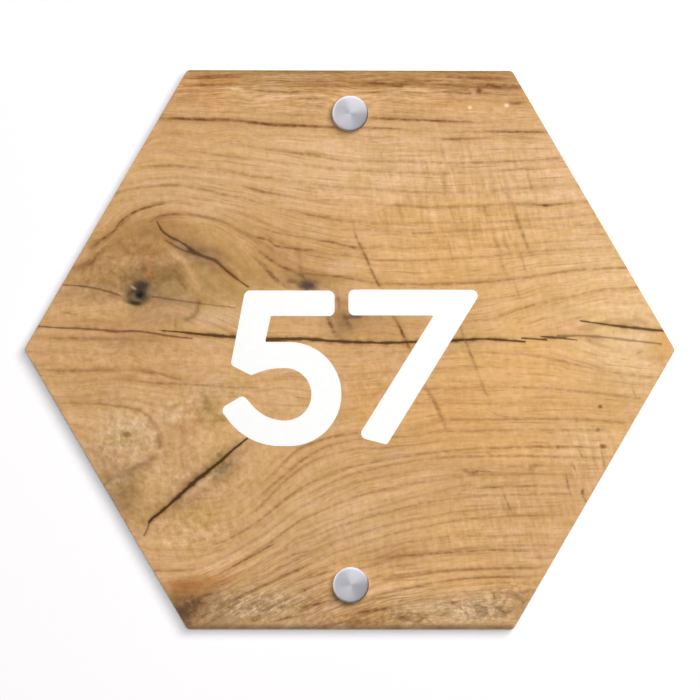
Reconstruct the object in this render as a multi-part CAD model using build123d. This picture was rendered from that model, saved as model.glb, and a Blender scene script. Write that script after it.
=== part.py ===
from build123d import *
import os
from math import radians, tan

# A hexagonal number plate for a door, with two screws hidden under turned caps.
# X runs to the right along the plate, Y into the door and Z up. The origin is the
# centre of the plate's back, so the door's surface is the plane Y = 0.
# All sizes are in millimetres.

# The plate, whose longest diagonal lies level
plate_width = 200.0  # from the left point to the right point, before rounding
plate_height = 172.0  # from the lower edge to the upper edge
level_edge = 100.0  # each level edge, measured between sharp corners
plate_thickness = 5.0
corner_radius = 1.5  # rounding of the six corners of the outline
edge_break = 0.15  # bevel round the front and back faces

# The two fixings, one above the other on the plate's centre line
fixing_inset = 13.5  # from the upper or lower edge to the middle of the screw

# The countersunk wood screw
screw_length = 30.0  # from the top of the head to the point
thread_diameter = 3.5  # over the crests of the thread
neck_diameter = 2.5  # plain stretch inside the plate
point_length = 4.0
head_diameter = 7.0
head_land = 0.3  # straight rim above the head's cone
head_angle = 90.0  # full angle of the head's cone and its seat
recess_span = 3.9  # cross recess, over two opposite wings at the top
recess_floor_span = 1.9  # the same at the bottom of the recess
recess_wing = 0.8  # thickness of one wing
recess_depth = 1.6
recess_core = 1.9  # diameter of the round middle at the top

# The hole through the plate
plate_hole_clearance = 0.5  # beside the thread, all round

# The turned cap that screws onto its base
cap_diameter = 11.0
cap_wall = 0.75
cap_top = 0.9  # thickness of the round face
cap_edge_radius = 0.55  # rounding of the face's outer edge
cap_lead_in = 0.2  # bevel inside the open rim
cap_headroom = 0.2  # between the base and the inside of the cap

# The base ring that the screw holds down
base_height = 2.0
base_play = 0.05  # between the base and the cap, all round
base_hole_clearance = 0.25  # beside the thread, all round
base_lead_in = 0.25  # bevel round the ring's upper edge

# The thin washer between the base and the plate
washer_thickness = 0.4
washer_inset = 0.25  # how far its edge lies inside the base's edge

# Sizes that follow
fixing_height = plate_height / 2 - fixing_inset  # above or below the middle
head_slope = tan(radians(head_angle / 2))
plate_hole_radius = thread_diameter / 2 + plate_hole_clearance
base_hole_radius = thread_diameter / 2 + base_hole_clearance
cap_bore_radius = cap_diameter / 2 - cap_wall
base_radius = cap_bore_radius - base_play
washer_level = plate_thickness
base_level = washer_level + washer_thickness
head_level = base_level + base_height
cap_ceiling = head_level + cap_headroom


def on_door(piece, height_up=0.0):
    """Turn a piece made with its axis along Z so that it points out of the door."""
    return Plane.XZ * Pos(0, height_up, 0) * piece


def turned(points):
    """A solid of revolution about Z, from the points of half its section."""
    half_section = Plane.XZ * make_face(Polyline(*points, close=True))
    return revolve(half_section, Axis.Z)


def make_plate():
    half_width, half_height, half_edge = plate_width / 2, plate_height / 2, level_edge / 2
    outline = Polygon(
        (half_width, 0),
        (half_edge, half_height),
        (-half_edge, half_height),
        (-half_width, 0),
        (-half_edge, -half_height),
        (half_edge, -half_height),
        align=None,
    )
    outline = fillet(outline.vertices(), corner_radius)
    sheet = extrude(outline, plate_thickness)
    for face in (sheet.faces().sort_by(Axis.Z)[0], sheet.faces().sort_by(Axis.Z)[-1]):
        sheet = chamfer(face.edges(), edge_break)
    drill = Cylinder(
        plate_hole_radius,
        plate_thickness,
        align=(Align.CENTER, Align.CENTER, Align.MIN),
    )
    for side in (1, -1):
        sheet -= Pos(0, side * fixing_height, 0) * drill
    return on_door(sheet)


def make_washer():
    outer = base_radius - washer_inset
    return turned(
        [
            (base_hole_radius, washer_level),
            (outer, washer_level),
            (outer, base_level),
            (base_hole_radius, base_level),
        ]
    )


def make_base():
    seat_radius = head_diameter / 2 + head_land * head_slope
    seat_foot = head_level - (seat_radius - base_hole_radius) / head_slope
    return turned(
        [
            (base_hole_radius, base_level),
            (base_radius, base_level),
            (base_radius, head_level - base_lead_in),
            (base_radius - base_lead_in, head_level),
            (seat_radius, head_level),
            (base_hole_radius, seat_foot),
        ]
    )


def make_cap():
    outer, bore = cap_diameter / 2, cap_bore_radius
    face_level = cap_ceiling + cap_top
    shell = turned(
        [
            (0, cap_ceiling),
            (bore, cap_ceiling),
            (bore, plate_thickness + cap_lead_in),
            (bore + cap_lead_in, plate_thickness),
            (outer, plate_thickness),
            (outer, face_level),
            (0, face_level),
        ]
    )
    rim = shell.edges().group_by(Axis.Z)[-1]
    return fillet(rim, cap_edge_radius)


def make_recess():
    """The cross recess, as a tool with its top in the plane Z = 0."""
    wing_section = Plane.XZ * Polygon(
        (-recess_span / 2, 0),
        (recess_span / 2, 0),
        (recess_floor_span / 2, -recess_depth),
        (-recess_floor_span / 2, -recess_depth),
        align=None,
    )
    wing = extrude(wing_section, recess_wing / 2, both=True)
    core = turned([(0, 0), (recess_core / 2, 0), (0, -recess_depth)])
    return wing + Rot(0, 0, 90) * wing + core


def make_screw():
    head_radius, neck_radius, thread_radius = (
        head_diameter / 2,
        neck_diameter / 2,
        thread_diameter / 2,
    )
    cone_top = head_level - head_land
    cone_foot = cone_top - (head_radius - neck_radius) / head_slope
    tip = head_level - screw_length
    blank = turned(
        [
            (0, head_level),
            (head_radius, head_level),
            (head_radius, cone_top),
            (neck_radius, cone_foot),
            (neck_radius, 0),
            (thread_radius, 0),
            (thread_radius, tip + point_length),
            (0, tip),
        ]
    )
    return blank - Pos(0, 0, head_level) * make_recess()


os.makedirs("parts", exist_ok=True)
export_step(make_plate(), "parts/plate.step")
fixing_pieces = {
    "cap": make_cap(),
    "cap_base": make_base(),
    "washer": make_washer(),
    "screw": make_screw(),
}
for place, side in (("upper", 1), ("lower", -1)):
    for kind, piece in fixing_pieces.items():
        placed = on_door(piece, side * fixing_height)
        export_step(placed, f"parts/{place}_{kind}.step")
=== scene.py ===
from math import atan2, cos, pi, radians, sin, tan

import bmesh
import bpy
import numpy as np
from mathutils import Matrix, Quaternion, Vector
from mathutils.geometry import delaunay_2d_cdt


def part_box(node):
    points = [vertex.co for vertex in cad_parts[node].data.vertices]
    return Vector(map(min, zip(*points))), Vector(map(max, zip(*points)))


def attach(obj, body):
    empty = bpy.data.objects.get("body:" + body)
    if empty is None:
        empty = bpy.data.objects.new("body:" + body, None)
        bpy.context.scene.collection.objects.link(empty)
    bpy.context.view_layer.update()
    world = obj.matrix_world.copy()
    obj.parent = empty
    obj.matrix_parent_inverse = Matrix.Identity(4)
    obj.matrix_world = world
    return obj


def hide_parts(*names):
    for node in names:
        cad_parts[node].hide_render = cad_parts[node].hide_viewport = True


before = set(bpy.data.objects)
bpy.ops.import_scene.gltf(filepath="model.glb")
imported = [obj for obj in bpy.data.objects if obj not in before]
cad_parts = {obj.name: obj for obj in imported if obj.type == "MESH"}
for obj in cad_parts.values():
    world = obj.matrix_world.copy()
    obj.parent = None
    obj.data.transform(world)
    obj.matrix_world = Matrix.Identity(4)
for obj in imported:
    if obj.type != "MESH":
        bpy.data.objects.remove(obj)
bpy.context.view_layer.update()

# Plate.
# A hexagon routed from 5 mm white plastic sheet. Its face is printed edge to edge with a
# weathered wood look, and it hangs on two screws, one above the other.
MM = 0.001
plate_low, plate_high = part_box("plate")
front_y, back_y = plate_low.y, plate_high.y
plate_half_width, plate_half_edge = 100 * MM, 50 * MM
plate_half_height = plate_high.z
corner_radius = 1.5 * MM
edge_break = 0.15 * MM
screw_hole_radius = 2.25 * MM
upper_cap_low, upper_cap_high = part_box("upper_cap")
fixing_height = (upper_cap_low.z + upper_cap_high.z) / 2
fixing_heights = {"upper": fixing_height, "lower": -fixing_height}
corner_steps, edge_steps, hole_steps = 7, 150, 48
lattice_step, lattice_row = 0.70 * MM, 0.87

photo_px_per_m = 3256.5
photo_centre_px = (350.05, 349.6)


def from_photo(x_px, y_px):
    """A place on the plate's face, in metres, from a pixel of the photograph."""
    return ((x_px - photo_centre_px[0]) / photo_px_per_m,
            (photo_centre_px[1] - y_px) / photo_px_per_m)


def circle(angles):
    """Places round a circle of radius 1."""
    return np.stack([np.cos(angles), np.sin(angles)], 1)


def hexagon_loop(inset):
    """The rounded hexagon, drawn in by a distance, anticlockwise seen from the front."""
    corners = np.array([
        (plate_half_width, 0),
        (plate_half_edge, plate_half_height),
        (-plate_half_edge, plate_half_height),
        (-plate_half_width, 0),
        (-plate_half_edge, -plate_half_height),
        (plate_half_edge, -plate_half_height),
    ])
    edges = np.roll(corners, -1, 0) - corners
    normals = np.stack([edges[:, 1], -edges[:, 0]], 1)
    normals /= np.linalg.norm(normals, axis=1)[:, None]
    arcs = []
    for i, corner in enumerate(corners):
        sides = normals[[i - 1, i]]
        centre = np.linalg.solve(sides, sides @ corner - corner_radius)
        first = atan2(sides[0][1], sides[0][0])
        turn = (atan2(sides[1][1], sides[1][0]) - first) % (2 * pi)
        angles = first + turn * np.linspace(0, 1, corner_steps)
        arcs.append(centre + (corner_radius - inset) * circle(angles))
    loop = []
    for arc, following in zip(arcs, arcs[1:] + arcs[:1]):
        loop.extend(arc)
        for step in range(1, edge_steps):
            loop.append(arc[-1] + (following[0] - arc[-1]) * step / edge_steps)
    return np.array(loop)


def hole_loop(height):
    """The edge of a screw hole, at its height above the plate's middle."""
    angles = 2 * pi * np.arange(hole_steps) / hole_steps
    return np.array([0, height]) + screw_hole_radius * circle(angles)


# The print's dark checks: how dark each is, then its points. Each point is x and y in the
# photograph and half the line's width there, all in pixels.
checks_px = {
    "long check, left end": (0.62, [
        (38, 327, 0.7), (60, 328.5, 0.6), (78, 329, 0.9), (100, 330.5, 1.0), (118, 332, 1.1),
        (130, 331.5, 1.0), (140, 332, 0.7), (155, 334, 0.8), (170, 336.5, 0.7), (192, 339, 0.5),
    ]),
    "long check across the face": (0.9, [
        (158, 330.5, 0.1), (172, 331.8, 0.5), (190, 333.5, 1.0), (210, 335.5, 1.4),
        (236, 337.5, 1.7), (265, 340, 1.8), (300, 339, 1.5), (330, 341, 1.4), (380, 343, 1.2),
        (410, 342, 1.2), (455, 340.5, 1.3), (480, 339, 1.1), (500, 339.7, 1.0), (525, 341.5, 0.8),
    ]),
    "its second lap": (0.85, [(522, 338, 0.6), (534, 338.7, 0.9), (547, 339.7, 0.5)]),
    "its third lap": (0.85, [(541, 336.3, 0.5), (556, 337.5, 0.9), (577, 339.8, 0.5)]),
    "long check, right end": (0.45, [
        (558, 335, 0.5), (580, 335.5, 0.8), (600, 336.5, 0.9), (630, 340, 0.8), (662, 343.5, 0.6),
    ]),
    "check at the right point": (0.85, [
        (581, 320.5, 0.4), (600, 323.3, 0.9), (620, 326, 1.0), (645, 328.5, 1.1), (668, 331, 0.9),
    ]),
    "crack of the lens": (0.72, [
        (157, 222, 0.4), (162, 231, 0.8), (170, 237, 0.9), (180, 242, 1.0), (188, 247.5, 1.5),
        (195, 253, 1.8), (206, 257.5, 1.6), (214, 260, 1.8), (221, 266, 1.3), (229, 273, 1.1),
        (238, 280, 0.8), (248, 287, 0.5),
    ]),
    "its second edge": (0.5, [
        (166, 241, 0.7), (173, 245, 0.9), (180, 249, 0.9), (189, 252.5, 0.7),
    ]),
    "crack left of the knot": (0.5, [
        (58, 285, 0.4), (85, 287, 0.6), (105, 291, 0.8), (120, 296, 0.8),
    ]),
    "crack right of the knot": (0.35, [
        (152, 297, 0.6), (180, 301, 0.6), (210, 305, 0.5), (236, 308, 0.4),
    ]),
    "slanting check": (0.95, [
        (247, 439, 0.7), (232, 451, 1.0), (221, 461, 1.4), (200, 478, 1.8), (188, 488, 1.8),
        (175, 500, 1.6), (160, 513, 1.4), (152, 519, 1.5), (149, 523, 1.0),
    ]),
    "tail of the slanting check": (0.5, [
        (149, 523, 1.0), (147, 530, 0.9), (144, 536, 0.7),
    ]),
}

# The yearly rings. Each has the height, in pixels, at which it crosses the level grain right
# of the middle. Each point is x and y in pixels and how dark the ring is there.
rings_px = {
    72: [(186, 74, 0), (350, 73, 0), (515, 75, 0)],
    86: [(184, 85, .3), (230, 84, .5), (260, 83, .3), (300, 84, .4), (340, 84, .5), (380, 84, .9),
         (440, 84, 1), (480, 86, 1), (518, 88, .6)],
    100: [(172, 100, .2), (200, 99, .3), (250, 101, .2), (350, 101, 0), (430, 101, .2),
          (480, 101, .3), (526, 101, .6)],
    120: [(168, 112, .2), (250, 112, .1), (320, 115, .2), (365, 117, .6), (400, 118.5, .9),
          (440, 120, 1), (475, 121, .7), (540, 121, .1)],
    131: [(158, 118, .9), (200, 119, .9), (240, 120, .8), (265, 123, 1), (300, 125, 1),
          (340, 127, 1), (385, 128, .7), (430, 130, .2), (480, 131, .7), (510, 130.5, .9),
          (548, 131, 1)],
    138: [(150, 133, .2), (200, 134, .3), (260, 135, .1), (340, 137, .3), (380, 139, .4),
          (430, 138, .3), (450, 138, 1), (478, 137.5, .8), (500, 137, .2), (552, 139, .2)],
    150: [(146, 144, .2), (200, 144, .1), (300, 143, .1), (340, 146, .2), (400, 150, .3),
          (480, 149, .2), (556, 148, .2)],
    162: [(150, 139, .1), (200, 141, .1), (245, 145, .3), (275, 150, .6), (300, 153.5, 1),
          (320, 156, .9), (345, 160, .6), (400, 161, .7), (440, 162, .6), (480, 162, .8),
          (500, 161, .9), (530, 160, .7), (560, 157, .9)],
    171: [(145, 151, .3), (180, 151, .3), (210, 153.5, .7), (240, 157.5, 1), (256, 158.5, .5),
          (300, 164.5, .4), (330, 168, .6), (360, 170, .6), (400, 172, .5), (440, 173, .7),
          (480, 171, .3), (510, 169, .5), (570, 166, .2)],
    190: [(138, 168, .3), (150, 166.5, .8), (175, 166, .9), (195, 168, .9), (210, 170, .3),
          (232, 172, .8), (252, 176, .9), (272, 178, .7), (300, 182, .5), (330, 186, .7),
          (360, 188, .4), (390, 190, .6), (430, 192, .6), (480, 191, .4), (510, 189, .6),
          (540, 186, .6), (582, 183, .5)],
    205: [(128, 184, .2), (160, 178, .3), (200, 179, .3), (235, 184, .2), (250, 188, .9),
          (262, 191, .9), (276, 194, .8), (300, 198, .3), (320, 200, .4), (350, 201, .2),
          (380, 204, .5), (410, 206, .8), (440, 207, .8), (480, 205, .6), (520, 203, .8),
          (550, 204, .9), (590, 201, .5)],
    221: [(108, 199, .5), (115, 194, .8), (128, 190, .6), (150, 186.5, .9), (170, 185.5, .9),
          (188, 187, .5), (207, 190.5, .8), (225, 195, .9), (242, 198, .7), (270, 206, .3),
          (300, 213, .5), (320, 217, .9), (340, 220, .7), (380, 223, .5), (420, 223, .4),
          (450, 222, .5), (500, 221, .5), (560, 217, .5), (595, 213, .5)],
    230: [(104, 209, .3), (120, 201, .5), (135, 196, .3), (160, 195, .2), (200, 199, .4),
          (225, 203, .5), (250, 208, .2), (300, 222, .2), (330, 229, .5), (360, 229, .6),
          (390, 231, .6), (420, 233, .8), (450, 231, .7), (490, 229, .6), (540, 226, .5),
          (600, 223, .4)],
    246: [(98, 226, .1), (112, 214, .2), (130, 203, .2), (150, 199, .2), (175, 198, .2),
          (200, 204, .3), (235, 212, .5), (250, 217, .5), (280, 229, .3), (300, 235, .3),
          (320, 240, .6), (345, 245, .8), (363, 248, .8), (385, 246, .4), (400, 248, .5),
          (440, 247, .4), (480, 246, .4), (540, 242, .4), (605, 238, .4)],
    256: [(90, 243, .8), (100, 240, .9), (110, 236, .8), (120, 226, 1), (135, 213, 1),
          (150, 206, 1), (165, 203, .9), (185, 204, .5), (215, 211, .4), (250, 225, .4),
          (278, 242, .6), (300, 249, .4), (330, 254, .6), (360, 257, .5), (380, 260, .5),
          (420, 260, .7), (460, 258, .7), (500, 255, .6), (540, 251, .6), (612, 246, .5)],
    282: [(70, 270, .9), (85, 264, .9), (97, 254, .6), (112, 241, .7), (122, 231, .3),
          (138, 222, .2), (153, 221.5, .7), (165, 217, .8), (180, 214, .6), (200, 216, .9),
          (215, 219, .9), (228, 224, .8), (250, 236, .5), (276, 252, .7), (300, 267, .5),
          (330, 275, .6), (352, 277, .7), (375, 283, .8), (400, 284, .9), (440, 284, 1),
          (480, 282, 1), (520, 278, .8), (560, 272, .9), (600, 268, .8), (632, 267, .8)],
    300: [(157, 224, 0), (180, 244, 0), (215, 260, 0), (248, 286, 0), (300, 308, 0),
          (350, 311, 0), (420, 310, 0), (470, 303, 0), (520, 295, 0), (570, 285, 0), (640, 277, 0)],
    319: [(165, 250, 0), (185, 270, 0), (205, 290, 0), (235, 306, 0), (280, 322, 0),
          (340, 328, 0), (400, 330, 0), (440, 327, .2), (470, 321, .6), (485, 320, .5),
          (500, 316, .5), (520, 309, .8), (545, 302, .7), (570, 297, .6), (600, 290, .7),
          (642, 287, .7)],
    340: [(36, 327, 0), (130, 331, 0), (235, 337, 0), (300, 339, 0), (380, 343, 0),
          (455, 341, 0), (520, 340, 0), (580, 336, 0), (662, 343, 0)],
    354: [(30, 340, .3), (60, 339, .5), (90, 339, .6), (130, 340, .5), (180, 345, .1),
          (225, 350, .1), (455, 353, .3), (490, 353, .4), (520, 354, .5), (545, 357, .7),
          (570, 363, .7), (600, 370, .6), (640, 376, .7), (662, 377, .5)],
    371: [(34, 371, .4), (60, 371, .6), (100, 371, .6), (140, 371, .7), (160, 374, .6),
          (178, 379, .5), (210, 382, .1), (240, 383, .1), (400, 371, .3), (440, 369, .4),
          (475, 369, .4), (500, 372, .1), (560, 373, .1), (600, 380, .1), (650, 386, .1)],
    388: [(42, 385, .1), (100, 381, .2), (130, 381, .6), (160, 384, .9), (190, 385, 1),
          (215, 386.5, .8), (240, 388, .7), (280, 390, 0), (350, 393, 0), (390, 389, .2),
          (430, 389, .6), (470, 388, .7), (500, 387, .4), (540, 388, .7), (580, 391, .7),
          (640, 398, .7)],
    404: [(52, 405, .2), (80, 404, .7), (110, 405.5, .8), (135, 410, .8), (150, 418, .6),
          (165, 424, .2), (340, 412, .2), (360, 408, .2), (400, 405, .2), (440, 404, .3),
          (500, 404, .3), (560, 405, .3), (634, 409, .2)],
    420: [(250, 497, .2), (270, 477, .5), (285, 462, .7), (300, 449, .8), (320, 441, .9),
          (340, 436, .9), (362, 433, .6), (400, 430, .2), (415, 427, .4), (440, 421, .8),
          (460, 419.5, .8), (480, 420, .8), (520, 419, .8), (580, 419, .8), (624, 423, .7)],
    431: [(240, 514, .1), (255, 500, .3), (268, 489, .7), (285, 475, .9), (300, 462, 1),
          (316, 452, .9), (330, 446, .8), (350, 441, .8), (365, 439, .7), (400, 437, .3),
          (440, 432, .6), (480, 431, .7), (520, 430, .6), (560, 430, .7), (605, 430, .5)],
    440: [(225, 530, .1), (248, 516, .3), (262, 505, .7), (275, 491, .9), (290, 477, .9),
          (306, 465, .8), (330, 455, .5), (360, 449, .6), (400, 446, .4), (440, 442, .2),
          (480, 440, .1), (540, 438, .1), (600, 440, .2)],
    449: [(148, 550, .1), (175, 551, .3), (200, 549, .3), (225, 541, .7), (240, 533, .8),
          (255, 524, .8), (270, 512, 1), (285, 500, 1), (300, 489, .9), (315, 481, .8),
          (330, 475, .8), (345, 469, .9), (380, 461, .8), (410, 456, .8), (440, 452, .8),
          (480, 449, .8), (530, 447, .9), (570, 447, .9), (606, 447, .6)],
    456: [(300, 500, .2), (320, 489, .5), (345, 477, .7), (380, 468, .8), (420, 460, .7),
          (450, 457.5, .8), (500, 456, .9), (560, 457, .8), (600, 458, .6)],
    466: [(153, 571, .9), (180, 571, .8), (200, 568, .4), (220, 560, .3), (245, 546, .3),
          (270, 530, .3), (300, 508, .4), (330, 493, .6), (360, 482, .7), (400, 474, .5),
          (430, 469, .3), (480, 466, .3), (540, 466, .4), (598, 466, .3)],
    475: [(200, 584, .5), (222, 573, .8), (240, 562, .9), (262, 549, 1), (280, 536, .9),
          (300, 521, .9), (320, 512, .7), (345, 501, .7), (370, 493, .8), (400, 486, .8),
          (430, 481, .5), (480, 475, .6), (530, 474, .6), (590, 475, .3)],
    486: [(205, 590, .6), (230, 577, .6), (255, 565, .4), (280, 551, .4), (310, 533, .4),
          (340, 520, .3), (370, 510, .4), (400, 501, .4), (440, 493, .3), (490, 487, .6),
          (530, 486, .6), (584, 486, .3)],
    496: [(190, 600, .5), (215, 589, .7), (240, 577, .5), (270, 560, .5), (300, 543, .6),
          (330, 530, .6), (360, 520, .8), (400, 509, .8), (430, 502, .7), (460, 498, .7),
          (500, 495, .7), (570, 494, .6)],
    508: [(195, 610, .5), (225, 596, .6), (255, 581, .5), (290, 563, .6), (320, 548, .5),
          (350, 537, .6), (390, 525, .7), (430, 517, .5), (480, 510, .5), (560, 506, .5)],
    518: [(215, 611, .6), (240, 598, .8), (265, 586, .9), (290, 574, .8), (320, 559, .5),
          (350, 548, .5), (390, 535, .6), (430, 526, .7), (460, 520, .8), (500, 517, .6),
          (560, 515, .5)],
    536: [(240, 610, .5), (265, 598, .7), (290, 585, .6), (320, 570, .6), (350, 558, .4),
          (400, 544, .6), (440, 538, .6), (480, 536, .7), (548, 536, .5)],
    547: [(262, 611, .5), (290, 597, .6), (320, 583, .7), (345, 573, .6), (370, 566, .8),
          (400, 557, .7), (440, 552, .7), (480, 547, .6), (545, 545, .6)],
    568: [(300, 612, .4), (330, 598, .5), (370, 579, .8), (400, 575, .8), (440, 571, .7),
          (480, 568.5, .8), (540, 568, .7)],
    578: [(310, 620, .4), (340, 606, .5), (370, 597, .7), (410, 588, .7), (440, 582, .7),
          (480, 577.5, .8), (530, 577, .6)],
    595: [(340, 622, .3), (370, 613, .5), (420, 601, .5), (480, 594, .4), (520, 592, .4)],
    622: [(380, 627, 0), (440, 625, 0), (512, 622, 0)],
}

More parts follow.
